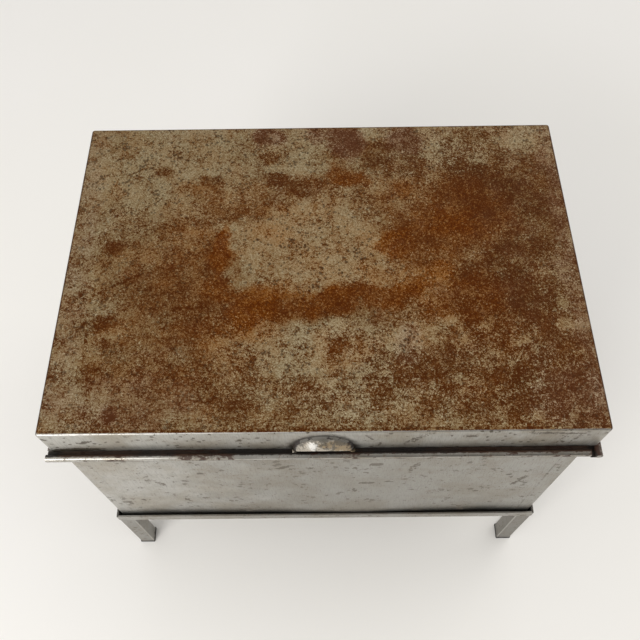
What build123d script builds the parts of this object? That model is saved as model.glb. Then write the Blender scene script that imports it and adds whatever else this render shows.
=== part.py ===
"""Bare steel trunk with a flat overlapping lid, standing in a welded angle-steel stand on four box legs.

Millimetres, +Z up. X runs along the trunk's length and the front faces -Y.
The origin is on the floor, under the middle of the trunk's body.
"""

from build123d import *
import os

os.makedirs("parts", exist_ok=True)

# Driving dimensions of the whole
overall_height = 565.5
lid_width = 700.0
lid_depth = 493.4
skirt_height = 58.0
body_width = 681.0
body_depth = 481.3
lid_front_overhang = 2.7
sheet = 1.2

# Lid shell
lid_edge_radius = 2.6
lid_corner_radius = 4.0

# Trunk body
corner_radius = 3.0
corner_flange = 22.0
lap_width = 12.0
seam_gap = 0.1
neck_height = 24.0
hem_height = 12.0
hem_setback = 10.0
pan_flange = 14.0
pan_gap = 0.05
pan_corner_radius = 2.0

# Rolled rim round the body, with a steel wire in its bead
strip_sheet = 1.5
bead_radius = 4.8
bead_bore = 3.25
wire_radius = 3.2
bead_offset = 10.2
bead_below_skirt = 0.35
ledge_below_bead = 2.6
rim_flange_height = 15.0
roll_slit = 0.6
butt_gap = 0.05

# Hinge straps that wrap the wire of the back rim
strap_positions = (-230.0, 230.0)
strap_width = 50.0
strap_height = 44.0
strap_sheet = 1.5
strap_bore = 3.28
strap_corner_radius = 6.0
notch_gap = 0.5
strap_rivet_spread = 15.0
strap_rivet_heights = (18.0, 34.0)

# Hooded finger pull on the lid's front: a cap of a sphere, cut by a rising lip
pull_half_width = 38.5
pull_projection = 13.0
pull_centre_height = 7.0
pull_sheet = 1.2
pull_foot_height = 2.4
lip_height_at_face = -9.5
lip_slope = 2.96
tab_reach = 37.0
tab_width = 6.0
tab_projection = 5.2

# Drop handles on the two ends
handle_height = 400.0
plate_length = 132.0
plate_height = 34.0
plate_sheet = 2.0
plate_corner_radius = 6.0
plate_rivet_spread = 112.0
plate_rivet_rise = 20.0
bail_rod_radius = 3.5
bail_width = 104.0
bail_drop = 46.0
bail_shoulder_radius = 8.0
bail_grip_radius = 12.0
bail_axis_offset = 8.5
bail_pin_end = 36.0
lug_place = 40.0
lug_radius = 5.8
lug_thickness = 5.0
lug_clearance = 0.08

# Rivets
rivet_radius = 2.0
rivet_clearance = 0.05
rivet_head_radius = 3.8
rivet_head_height = 2.0
rivet_tail_radius = 2.9
rivet_tail_height = 0.9

# Stand of mitred angle steel with box-section legs
stand_width = 692.0
stand_depth = 496.3
stand_top = 187.0
angle_size = 20.0
angle_thickness = 3.0
angle_root_radius = 2.0
angle_toe_radius = 1.2
leg_size = 25.0
leg_wall = 2.0
leg_corner_radius = 2.5
cap_thickness = 2.5
cap_plug_height = 12.0
cap_plug_clearance = 0.1
cap_rib_depth = 1.2
cap_rib_height = 1.0
cap_rib_count = 3
cap_rib_corner = 0.8

# Places worked out from the driving dimensions
skirt_bottom = overall_height - skirt_height
neck_top = skirt_bottom + neck_height
body_bottom = stand_top - angle_size + angle_thickness
half_width = body_width / 2
half_depth = body_depth / 2
lid_front = -half_depth - lid_front_overhang
lid_back = lid_front + lid_depth
lid_middle = (lid_front + lid_back) / 2
bead_z = skirt_bottom - bead_below_skirt - bead_radius
ledge_top = bead_z - ledge_below_bead
rim_reach = bead_offset + bead_radius
hinge_y = half_depth + bead_offset
seam_x = half_width - corner_flange
leg_top = stand_top - angle_size


def write(part, name):
    """Labels one finished piece and writes it under its own name."""
    part.label = name
    export_step(part, f"parts/{name}.step")
    print(f"{name}: {len(part.solids())} solid(s), {part.volume / 1000:.1f} cm3")


# Stand rails: an angle section run along the side, then trimmed to its mitred plan outline
def stand_rail(length, breadth):
    """The rail of the -Y side: length is its own, breadth is the stand's size across it."""
    outer = -breadth / 2
    inner = outer + angle_size
    web_inside = outer + angle_thickness
    shelf_top = leg_top + angle_thickness
    with BuildPart() as rail:
        with BuildSketch(Plane.YZ):
            with BuildLine():
                Polyline(
                    (outer, leg_top),
                    (inner, leg_top),
                    (inner, shelf_top),
                    (web_inside, shelf_top),
                    (web_inside, stand_top),
                    (outer, stand_top),
                    close=True,
                )
            make_face()
            fillet(vertices().sort_by_distance((web_inside, shelf_top))[0], angle_root_radius)
            fillet(vertices().sort_by_distance((web_inside, stand_top))[0], angle_toe_radius)
            fillet(vertices().sort_by_distance((inner, shelf_top))[0], angle_toe_radius)
        extrude(amount=length / 2, both=True)
        with BuildSketch(Plane.XY.offset(leg_top)):
            with BuildLine():
                Polyline(
                    (-length / 2, outer),
                    (length / 2, outer),
                    (length / 2 - angle_size, inner),
                    (-length / 2 + angle_size, inner),
                    close=True,
                )
            make_face()
        extrude(amount=angle_size, mode=Mode.INTERSECT)
    return rail.part


long_rail = stand_rail(stand_width, stand_depth)
short_rail = stand_rail(stand_depth, stand_width)
write(long_rail.rotate(Axis.Z, 0), "rail_front")
write(long_rail.rotate(Axis.Z, 180), "rail_back")
write(short_rail.rotate(Axis.Z, -90), "rail_left")
write(short_rail.rotate(Axis.Z, 90), "rail_right")

# Legs and their push-in foot caps, one of each under every corner of the frame
leg_x = (stand_width - leg_size) / 2
leg_y = (stand_depth - leg_size) / 2
leg_places = {
    "front_left": (-leg_x, -leg_y),
    "front_right": (leg_x, -leg_y),
    "back_left": (-leg_x, leg_y),
    "back_right": (leg_x, leg_y),
}
tube_inside = leg_size - 2 * leg_wall
plug_width = tube_inside - 2 * cap_plug_clearance
core_width = plug_width - 2 * cap_rib_depth
rib_pitch = (cap_plug_height - cap_rib_height) / cap_rib_count

for corner, place in leg_places.items():
    with BuildPart() as leg:
        with BuildSketch(Plane.XY.offset(cap_thickness)):
            with Locations(place):
                RectangleRounded(leg_size, leg_size, leg_corner_radius)
                RectangleRounded(tube_inside, tube_inside, leg_corner_radius - leg_wall, mode=Mode.SUBTRACT)
        extrude(amount=leg_top - cap_thickness)
    write(leg.part, f"leg_{corner}")

    with BuildPart() as cap:
        with BuildSketch(Plane.XY):
            with Locations(place):
                RectangleRounded(leg_size, leg_size, leg_corner_radius)
        extrude(amount=cap_thickness)
        with BuildSketch(Plane.XY.offset(cap_thickness)):
            with Locations(place):
                Rectangle(core_width, core_width)
        extrude(amount=cap_plug_height)
        for rib in range(cap_rib_count):
            with BuildSketch(Plane.XY.offset(cap_thickness + (rib + 1) * rib_pitch)):
                with Locations(place):
                    RectangleRounded(plug_width, plug_width, cap_rib_corner)
            extrude(amount=cap_rib_height)
    write(cap.part, f"foot_cap_{corner}")

# Front and back sheets of the body, with a hem folded inwards along the neck's top
for side, name in ((-1, "body_front"), (1, "body_back")):
    with BuildPart() as wall:
        with BuildSketch(Plane.XY.offset(body_bottom)):
            with Locations((0, side * (half_depth - sheet / 2))):
                Rectangle(2 * (seam_x - seam_gap), sheet)
        extrude(amount=neck_top - body_bottom)
        with BuildSketch(Plane.XY.offset(neck_top - hem_height)):
            with Locations((0, side * (half_depth - 1.5 * sheet))):
                Rectangle(2 * (seam_x - lap_width - hem_setback), sheet)
        extrude(amount=hem_height)
    write(wall.part, name)

# End sheets: each turns both corners, and a set-back lap runs on behind the front and back sheets
lap_bottom = body_bottom + pan_flange + 2 * sheet
lap_middle = seam_x - lap_width / 2 + sheet
handle_rivet_places = [
    (spread * plate_rivet_spread / 2, handle_height + rise * plate_rivet_rise / 2)
    for spread in (-1, 1)
    for rise in (-1, 1)
]

for side, name in ((-1, "body_left"), (1, "body_right")):
    with BuildPart() as wall:
        with BuildSketch(Plane.XY.offset(body_bottom)):
            with Locations((side * (half_width - corner_flange / 2), 0)):
                Rectangle(corner_flange, body_depth)
            outer_corners = vertices().group_by(Axis.X)[-1 if side > 0 else 0]
            fillet(outer_corners, corner_radius)
            with Locations((side * (half_width - sheet - corner_flange), 0)):
                RectangleRounded(
                    2 * corner_flange, body_depth - 2 * sheet, corner_radius - sheet, mode=Mode.SUBTRACT
                )
        extrude(amount=neck_top - body_bottom)
        with BuildSketch(Plane.XY.offset(lap_bottom)):
            lap_y = half_depth - 1.5 * sheet
            with Locations((side * lap_middle, lap_y), (side * lap_middle, -lap_y)):
                Rectangle(lap_width + 2 * sheet, sheet)
        extrude(amount=neck_top - lap_bottom)
        with BuildSketch(Plane.XY.offset(neck_top - hem_height)):
            with Locations((side * (half_width - 1.5 * sheet), 0)):
                Rectangle(sheet, body_depth - 4 * hem_setback)
        extrude(amount=hem_height)
        with BuildSketch(Plane.YZ.offset(side * half_width)):
            with Locations(*handle_rivet_places):
                Circle(rivet_radius + rivet_clearance)
        extrude(amount=-side * 2 * sheet, mode=Mode.SUBTRACT)
    write(wall.part, name)

# Bottom pan, a shallow tray let in between the four sheets
pan_width = body_width - 2 * (sheet + pan_gap)
pan_depth = body_depth - 2 * (sheet + pan_gap)

with BuildPart() as pan:
    with BuildSketch(Plane.XY.offset(body_bottom)):
        RectangleRounded(pan_width, pan_depth, pan_corner_radius)
    extrude(amount=pan_flange)
    with BuildSketch(Plane.XY.offset(body_bottom + sheet)):
        RectangleRounded(pan_width - 2 * sheet, pan_depth - 2 * sheet, pan_corner_radius - sheet)
    extrude(amount=pan_flange, mode=Mode.SUBTRACT)
write(pan.part, "bottom_pan")


# Rim strips: a flange on the wall, a ledge, and the edge rolled up and over a wire
def rim_strip(wall_at, start, end, half_run, notches=()):
    """The strip of the -Y side, from x = start to x = end; its flange keeps to half_run each way."""
    bead_y = -wall_at - bead_offset
    with BuildPart() as strip:
        with BuildSketch(Plane.YZ.offset(start)):
            with Locations((bead_y, bead_z)):
                Circle(bead_radius)
            ledge_width = bead_offset - bead_bore + roll_slit
            with Locations((-wall_at - ledge_width / 2, ledge_top - strip_sheet / 2)):
                Rectangle(ledge_width, strip_sheet)
            with Locations((bead_y, bead_z)):
                Circle(bead_bore, mode=Mode.SUBTRACT)
            with Locations((bead_y + bead_radius / 2, ledge_top + roll_slit / 2)):
                Rectangle(bead_radius, roll_slit, mode=Mode.SUBTRACT)
        extrude(amount=end - start)
        with BuildSketch(Plane.YZ.offset(-half_run + butt_gap)):
            with Locations((-wall_at - strip_sheet / 2, ledge_top - rim_flange_height / 2)):
                Rectangle(strip_sheet, rim_flange_height)
        extrude(amount=2 * (half_run - butt_gap))
        if notches:
            notch_reach = 2 * bead_radius + notch_gap
            with BuildSketch(Plane.XY.offset(bead_z - 2 * bead_radius)):
                with Locations(*[(notch, -wall_at - rim_reach + notch_reach / 2) for notch in notches]):
                    Rectangle(strap_width + 2 * notch_gap, notch_reach)
            extrude(amount=4 * bead_radius, mode=Mode.SUBTRACT)
    return strip.part


def rim_wire(wall_at, start, end):
    """The wire inside the -Y side's bead, from x = start to x = end."""
    with BuildPart() as wire:
        with BuildSketch(Plane.YZ.offset(start)):
            with Locations((-wall_at - bead_offset, bead_z)):
                Circle(wire_radius)
        extrude(amount=end - start)
    return wire.part


# The back strip runs past both corners, because the lid swings round its wire.
# The front strip laps the left corner, the right strip laps the front, and every other end butts.
front_lap = -half_width - rim_reach
side_lap = -half_depth - rim_reach
rim_sides = {
    "front": (half_depth, half_width, front_lap, half_width - butt_gap, 0, ()),
    "right": (half_width, half_depth, side_lap, half_depth - butt_gap, 90, ()),
    "back": (half_depth, half_width, front_lap, -front_lap, 180, strap_positions),
    "left": (half_width, half_depth, -half_depth + butt_gap, half_depth - butt_gap, -90, ()),
}

for side, (wall_at, half_run, start, end, turned, notches) in rim_sides.items():
    strip = rim_strip(wall_at, start, end, half_run, notches)
    wire = rim_wire(wall_at, start, end)
    write(strip.rotate(Axis.Z, turned), f"rim_{side}")
    write(wire.rotate(Axis.Z, turned), f"rim_wire_{side}")

# Lid shell: one pressed sheet with a rolled edge all round its top
strap_rivet_places = [
    (strap_x + spread * strap_rivet_spread, skirt_bottom + height)
    for strap_x in strap_positions
    for height in strap_rivet_heights
    for spread in (-1, 1)
]

with BuildPart() as lid:
    with BuildSketch(Plane.XY.offset(skirt_bottom)):
        with Locations((0, lid_middle)):
            RectangleRounded(lid_width, lid_depth, lid_corner_radius)
    extrude(amount=skirt_height)
    fillet(faces().sort_by(Axis.Z)[-1].edges(), lid_edge_radius)
    with BuildSketch(Plane.XY.offset(skirt_bottom)):
        with Locations((0, lid_middle)):
            RectangleRounded(lid_width - 2 * sheet, lid_depth - 2 * sheet, lid_corner_radius - sheet)
    extrude(amount=skirt_height - sheet, mode=Mode.SUBTRACT)
    with BuildSketch(Plane.XZ.offset(-lid_back)):
        with Locations(*strap_rivet_places):
            Circle(rivet_radius + rivet_clearance)
    extrude(amount=2 * sheet, mode=Mode.SUBTRACT)
write(lid.part, "lid_shell")

# Hinge straps: an eye round the back wire, and a plate up the lid's back face
plate_rise = skirt_bottom + strap_height - bead_z

for strap_x, name in zip(strap_positions, ("hinge_strap_left", "hinge_strap_right")):
    with BuildPart() as strap:
        with BuildSketch(Plane.YZ.offset(strap_x - strap_width / 2)):
            with Locations((hinge_y, bead_z)):
                Circle(bead_radius)
            with Locations((lid_back + strap_sheet / 2, bead_z + plate_rise / 2)):
                Rectangle(strap_sheet, plate_rise)
            with Locations((hinge_y, bead_z)):
                Circle(strap_bore, mode=Mode.SUBTRACT)
        extrude(amount=strap_width)
        fillet(edges().filter_by(Axis.Y).group_by(Axis.Z)[-1], strap_corner_radius)
        with BuildSketch(Plane.XZ.offset(-lid_back - 2 * strap_sheet)):
            with Locations(*strap_rivet_places):
                Circle(rivet_radius + rivet_clearance)
        extrude(amount=3 * strap_sheet, mode=Mode.SUBTRACT)
    write(strap.part, name)


# Rivets: a domed head outside, a shank through both sheets and a short upset tail inside
def rivets_on(planes, grip):
    """One rivet on each plane, whose origin is under the head and whose normal points outwards."""
    with BuildPart() as rivet:
        with BuildSketch(Plane.XZ):
            with BuildLine():
                TangentArc((0, rivet_head_height), (rivet_head_radius, 0), tangent=(1, 0))
                Polyline(
                    (rivet_head_radius, 0),
                    (rivet_radius, 0),
                    (rivet_radius, -grip),
                    (rivet_tail_radius, -grip),
                    (rivet_tail_radius, -grip - rivet_tail_height),
                    (0, -grip - rivet_tail_height),
                    (0, rivet_head_height),
                )
            make_face()
        revolve(axis=Axis.Z)
    with BuildPart() as group:
        with Locations(*planes):
            add(rivet.part)
    return group.part


strap_face = lid_back + strap_sheet
strap_rivet_planes = [
    Plane(origin=(x, strap_face, z), x_dir=(1, 0, 0), z_dir=(0, 1, 0)) for x, z in strap_rivet_places
]
write(rivets_on(strap_rivet_planes, strap_sheet + sheet), "hinge_rivets")

# Finger pull: a hollow cap of a sphere on the lid's front, open below, with a small out-turned tab
# at each end
sphere_radius = (pull_half_width**2 + pull_projection**2) / (2 * pull_projection)
sphere_y = lid_front + sphere_radius - pull_projection
sphere_z = skirt_bottom + pull_centre_height
lip_origin = (0, lid_front, skirt_bottom + lip_height_at_face)
lip_plane = Plane(origin=lip_origin, x_dir=(1, 0, 0), z_dir=(0, lip_slope, 1))
foot_z = skirt_bottom + pull_foot_height

with BuildPart() as pull:
    with Locations((0, sphere_y, sphere_z)):
        Sphere(sphere_radius)
        Sphere(sphere_radius - pull_sheet, mode=Mode.SUBTRACT)
    split(bisect_by=Plane(origin=(0, lid_front, 0), z_dir=(0, -1, 0)), keep=Keep.TOP)
    split(bisect_by=lip_plane, keep=Keep.TOP)
    split(bisect_by=Plane.XY.offset(foot_z - pull_sheet), keep=Keep.TOP)
    with BuildSketch(Plane.XY.offset(foot_z - pull_sheet)):
        with Locations(
            (-tab_reach, lid_front - tab_projection / 2),
            (tab_reach, lid_front - tab_projection / 2),
        ):
            Rectangle(tab_width, tab_projection)
    extrude(amount=pull_sheet)
write(pull.part, "pull")

# Drop handles: a plate with two eyes riveted to the wall, and a bail of round rod hanging in them
for side, hand in ((-1, "left"), (1, "right")):
    wall_x = side * half_width
    plate_face = wall_x + side * plate_sheet
    axis_x = wall_x + side * bail_axis_offset
    with BuildPart() as plate:
        with BuildSketch(Plane.YZ.offset(wall_x)):
            with Locations((0, handle_height)):
                RectangleRounded(plate_length, plate_height, plate_corner_radius)
            with Locations(*handle_rivet_places):
                Circle(rivet_radius + rivet_clearance, mode=Mode.SUBTRACT)
        extrude(amount=side * plate_sheet)
        for lug_y in (-lug_place, lug_place):
            with BuildSketch(Plane.XZ.offset(-lug_y)):
                with Locations((axis_x, handle_height)):
                    Circle(lug_radius)
                with Locations(((plate_face + axis_x) / 2, handle_height)):
                    Rectangle(abs(axis_x - plate_face), 2 * lug_radius)
                with Locations((axis_x, handle_height)):
                    Circle(bail_rod_radius + lug_clearance, mode=Mode.SUBTRACT)
            extrude(amount=lug_thickness / 2, both=True)
    write(plate.part, f"handle_plate_{hand}")

    grip_z = handle_height - bail_drop
    grip_y = bail_width / 2
    with BuildPart() as bail:
        with BuildLine(Plane.YZ.offset(axis_x)) as rod_path:
            FilletPolyline(
                (-bail_pin_end, handle_height),
                (-grip_y, handle_height),
                (-grip_y, grip_z),
                (grip_y, grip_z),
                (grip_y, handle_height),
                (bail_pin_end, handle_height),
                radius=[bail_shoulder_radius, bail_grip_radius, bail_grip_radius, bail_shoulder_radius],
            )
        with BuildSketch(Plane(origin=rod_path.line @ 0, z_dir=rod_path.line % 0)):
            Circle(bail_rod_radius)
        sweep(path=rod_path.line)
    write(bail.part, f"bail_{hand}")

    outwards = (side, 0, 0)
    handle_rivet_planes = [
        Plane(origin=(plate_face, y, z), x_dir=(0, 1, 0), z_dir=outwards) for y, z in handle_rivet_places
    ]
    write(rivets_on(handle_rivet_planes, plate_sheet + sheet), f"handle_rivets_{hand}")
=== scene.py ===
# %% [markdown]
# # A bare steel trunk in an angle-steel stand
#
# The object is an old trunk of sheet steel with its paint gone. The lid's top has rusted and been waxed,
# the front is rubbed to a silvery grey, and the whole box sits loose in a welded stand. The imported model
# gives every piece its true size. This file gives each piece its surface, and remakes the sheet pieces
# whose look depends on how sheet steel really lies: never quite flat, with edges dressed by hand.

# %% Load the frame
import bmesh
import bpy
import math
import numpy as np
from mathutils import Matrix, Vector


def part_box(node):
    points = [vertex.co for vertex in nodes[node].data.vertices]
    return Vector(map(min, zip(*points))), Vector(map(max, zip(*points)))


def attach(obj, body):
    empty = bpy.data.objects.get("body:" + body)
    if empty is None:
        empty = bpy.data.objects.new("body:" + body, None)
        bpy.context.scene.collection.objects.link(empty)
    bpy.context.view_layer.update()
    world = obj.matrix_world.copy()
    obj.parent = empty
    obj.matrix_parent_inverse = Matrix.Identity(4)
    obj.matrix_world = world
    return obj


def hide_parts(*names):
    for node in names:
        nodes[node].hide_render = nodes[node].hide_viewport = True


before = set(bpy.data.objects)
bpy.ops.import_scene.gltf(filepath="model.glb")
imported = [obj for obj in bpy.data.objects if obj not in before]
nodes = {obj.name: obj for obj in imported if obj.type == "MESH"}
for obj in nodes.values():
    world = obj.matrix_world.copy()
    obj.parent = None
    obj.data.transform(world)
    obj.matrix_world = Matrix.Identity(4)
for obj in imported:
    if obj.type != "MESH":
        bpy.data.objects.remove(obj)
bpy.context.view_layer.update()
MM = 0.001
print("pieces in the frame:", len(nodes))

# %% [markdown]
# ## The camera
#
# The photograph was taken from standing height, looking steeply down at the trunk. A camera solved from
# straight edges gives a place and three angles. A Track To constraint could aim it, but a turn built from
# the three angles is exact, and keeps the slight roll of a hand-held picture.

# %% Make the camera
IMAGE_PIXELS = 640
FOCAL_PIXELS = 728.9
SENSOR_WIDTH = 36.0
CAMERA_PLACE = (1.85 * MM, -548.31 * MM, 1401.73 * MM)
CAMERA_PITCH_DOWN = 61.15
CAMERA_YAW = -0.60
CAMERA_ROLL = -1.19

camera_data = bpy.data.cameras.new("camera")
camera_data.sensor_width = SENSOR_WIDTH
camera_data.lens = FOCAL_PIXELS * SENSOR_WIDTH / IMAGE_PIXELS
camera = bpy.data.objects.new("camera", camera_data)
bpy.context.scene.collection.objects.link(camera)
bpy.context.scene.camera = camera

heading = Matrix.Rotation(math.radians(-CAMERA_YAW), 4, "Z")
tilt = Matrix.Rotation(math.radians(90.0 - CAMERA_PITCH_DOWN), 4, "X")
roll = Matrix.Rotation(math.radians(CAMERA_ROLL), 4, "Z")
camera.matrix_world = Matrix.Translation(CAMERA_PLACE) @ heading @ tilt @ roll
print("lens, mm:", round(camera_data.lens, 2))

# %% [markdown]
# ## Writing shader maths as sums
#
# A material is a graph of nodes. Wiring each Math node by hand hides what the sum says, so a small class
# wraps one node output and overloads the operators. An expression such as 1 - mask * 0.5 then adds the
# nodes it needs. Places are in millimetres, because rust and scratches are easiest to think of at that
# scale.

# %% Wrap one socket
def linear(red, green, blue):
    """A colour written as 0 to 255 in a picture, as the linear colour that the renderer reckons with."""
    shares = [value / 255 for value in (red, green, blue)]
    return (*[s / 12.92 if s <= 0.04045 else ((s + 0.055) / 1.055) ** 2.4 for s in shares], 1.0)


class Sock:
    """One output of a node. Sums on it add Math nodes to the same material."""

    def __init__(self, paint, socket):
        self.paint = paint
        self.socket = socket

    def __add__(self, other):
        return self.paint.maths("ADD", self, other)

    def __radd__(self, other):
        return self.paint.maths("ADD", other, self)

    def __sub__(self, other):
        return self.paint.maths("SUBTRACT", self, other)

    def __rsub__(self, other):
        return self.paint.maths("SUBTRACT", other, self)

    def __mul__(self, other):
        return self.paint.maths("MULTIPLY", self, other)

    def __rmul__(self, other):
        return self.paint.maths("MULTIPLY", other, self)

    def __abs__(self):
        return self.paint.maths("ABSOLUTE", self)


# %% Wrap one tree of nodes
def fill_ramp(ramp, stops):
    """Sets a ramp's stops from places between 0 and 1 and their colours."""
    while len(ramp.elements) < len(stops):
        ramp.elements.new(1.0)
    for element, (place, colour) in zip(ramp.elements, stops):
        element.position = place
        element.color = colour


class Recipe:
    """A node tree under construction, with a node for each step. Its places are coordinates times a scale."""

    def __init__(self, tree, coordinates, scale):
        self.tree = tree
        place = self.add("ShaderNodeTexCoord", {}, {}, coordinates)
        sockets = {"Vector": place, "Scale": scale}
        self.place = self.add("ShaderNodeVectorMath", {"operation": "SCALE"}, sockets)
        self.x, self.y, self.z = (
            self.add("ShaderNodeSeparateXYZ", {}, {"Vector": self.place}, axis) for axis in "XYZ"
        )

    def add(self, kind, settings, sockets, out=0):
        """Adds one node. Its settings come first, then a value or a link for each socket named."""
        node = self.tree.nodes.new(kind)
        for name, value in settings.items():
            if name == "stops":
                fill_ramp(node.color_ramp, value)
            else:
                setattr(node, name, value)
        for name, value in sockets.items():
            self.join(node.inputs[name], value)
        return Sock(self, node.outputs[out])

    def join(self, socket, value):
        """Links a Sock to the socket, or sets a plain value on it."""
        if isinstance(value, Sock):
            self.tree.links.new(value.socket, socket)
        else:
            socket.default_value = value

    def maths(self, operation, *values):
        """One Math node on values given in the order of its sockets."""
        return self.add("ShaderNodeMath", {"operation": operation}, dict(enumerate(values)))

    def largest(self, value, *others):
        """The largest of several values. Each node compares two."""
        for other in others:
            value = self.maths("MAXIMUM", value, other)
        return value

    def reach(self, across, up):
        """The length of a step that goes so far across and so far up."""
        return self.maths("SQRT", across * across + up * up)

    def smooth(self, value, low, high):
        """0 below low and 1 above high, with a soft step between."""
        sockets = {"Value": value, "From Min": low, "From Max": high}
        return self.add("ShaderNodeMapRange", {"interpolation_type": "SMOOTHSTEP"}, sockets)

    def mix(self, low, high, share):
        """The colour low where share is 0 and high where it is 1."""
        return self.add("ShaderNodeMix", {"data_type": "RGBA"}, {0: share, 6: low, 7: high}, 2)

    def ramp(self, share, colours):
        """A colour that runs through the given ones, evenly spaced, as share goes from 0 to 1."""
        stops = [(number / (len(colours) - 1), colour) for number, colour in enumerate(colours)]
        return self.add("ShaderNodeValToRGB", {"stops": stops}, {0: share})

    def attribute(self, name):
        return self.add("ShaderNodeAttribute", {"attribute_name": name}, {}, "Fac")

    def noise(self, size, detail, rough, stretch=(1, 1, 1), turn=(0, 0, 0), shift=(0, 0, 0), curl=0.0):
        """Cloudy noise about 0.5, with features of the given size in mm, turned, stretched and curled."""
        place = self.place
        if any(turn) or any(shift):
            sockets = {"Vector": place, "Location": shift, "Rotation": tuple(map(math.radians, turn))}
            place = self.add("ShaderNodeMapping", {}, sockets)
        scale = tuple(1 / (size * part) for part in stretch)
        place = self.add("ShaderNodeVectorMath", {"operation": "MULTIPLY"}, {0: place, 1: scale})
        sockets = {"Vector": place, "Scale": 1.0, "Detail": detail, "Roughness": rough, "Distortion": curl}
        return self.add("ShaderNodeTexNoise", {}, sockets)

    def pits(self, spacing, shift=(0, 0, 0)):
        """How far a spot is from the nearest of many scattered points, as a share of their spacing in mm."""
        place = self.add("ShaderNodeVectorMath", {"operation": "ADD"}, {0: self.place, 1: shift})
        return self.add("ShaderNodeTexVoronoi", {}, {"Vector": place, "Scale": 1 / spacing})


class Paint(Recipe):
    """A material under construction."""

    def __init__(self, name):
        self.material = bpy.data.materials.new(name)
        self.material.use_nodes = True
        self.shader = self.material.node_tree.nodes["Principled BSDF"]
        super().__init__(self.material.node_tree, "Object", 1 / MM)

    def finish(self, height=None, depth=0.1, **values):
        """Joins the recipe to the shader. A height from 0 to 1 becomes relief of the given depth in mm."""
        if height is not None:
            sockets = {"Height": height, "Distance": depth * MM, "Strength": 1.0}
            self.join(self.shader.inputs["Normal"], self.add("ShaderNodeBump", {}, sockets, "Normal"))
        for name, value in values.items():
            self.join(self.shader.inputs[name.replace("_", " ")], value)
        print(self.material.name, "nodes:", len(self.tree.nodes))
        return self.material


# %% [markdown]
# ## Noise and meshes in numpy
#
# Sheet steel is never flat, and rust gathers in clouds, so both need smooth noise on whole arrays. Blender
# has such noise one point at a time, but a table of random numbers, read between its entries, does it for
# all points at once and gives the same answer every run.

# %% Smooth noise on arrays
NOISE_SIZE = 64
OCTAVE_FALL = 0.55
noise_table = np.random.default_rng(7).random((NOISE_SIZE, NOISE_SIZE))


def table_entry(i, j):
    return noise_table[i % NOISE_SIZE, j % NOISE_SIZE]


def ease(share):
    """A soft step from 0 to 1: three times the square, less twice the cube."""
    return share * share * (3 - 2 * share)


def cloud(u, v, pitch, seed, octaves):
    """Noise from -1 to 1: table entries one pitch apart, eased between. Each octave has half the pitch."""
    total = np.zeros_like(u, dtype=float)
    strength = 1.0
    whole = 0.0
    for octave in range(octaves):
        # Each seed and octave starts at a place of its own in the table
        a = u / pitch + 17.3 * seed + 5.1 * octave
        b = v / pitch + 9.7 * seed + 3.7 * octave
        i = np.floor(a).astype(int)
        j = np.floor(b).astype(int)
        p = ease(a - i)
        q = ease(b - j)
        near = table_entry(i, j) * (1 - q) + table_entry(i, j + 1) * q
        far = table_entry(i + 1, j) * (1 - q) + table_entry(i + 1, j + 1) * q
        total += strength * ((near * (1 - p) + far * p) * 2 - 1)
        whole += strength
        strength *= OCTAVE_FALL
        pitch = pitch / 2
    return total / whole


# %% Faces for grids and tubes of points
def grid_faces(rows, columns, first=0, closed=False):
    """Four-sided faces between the neighbours of a grid of points, wrapping round the columns if closed."""
    row = np.arange(rows - 1)[:, None] * columns
    column = np.arange(columns if closed else columns - 1)[None, :]
    after = (column + 1) % columns
    corners = (row + column, row + after, row + columns + after, row + columns + column)
    return np.stack(corners, -1).reshape(-1, 4) + first


def tube_faces(rings, around, first=0, closed=True):
    """The side faces of rings of points set one after another, and one flat face over each end."""
    faces = [tuple(face) for face in grid_faces(rings, around, first, closed)]
    last = first + (rings - 1) * around
    return faces + [tuple(range(first, first + around))[::-1], tuple(range(last, last + around))]


# %% Put points into a piece
def make_piece(name, points, faces, body, material, stands_for, crease=35.0):
    """An object at the origin from points in mm, riding on its body and finished with its material."""
    mesh = bpy.data.meshes.new(name)
    mesh.from_pydata((np.asarray(points) * MM).tolist(), [], [list(map(int, face)) for face in faces])
    mesh.materials.append(material)
    mesh.shade_smooth()
    mesh.set_sharp_from_angle(angle=math.radians(crease))
    piece = bpy.data.objects.new(name, mesh)
    bpy.context.scene.collection.objects.link(piece)
    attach(piece, body)
    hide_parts(*stands_for)
    print(name, "points:", len(mesh.vertices), "faces:", len(mesh.polygons))
    return piece


def set_field(piece, name, values):
    """Keeps one number per point on the mesh, where a material can read it by name."""
    layer = piece.data.attributes.new(name, "FLOAT", "POINT")
    layer.data.foreach_set("value", values.astype(np.float32))
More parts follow.
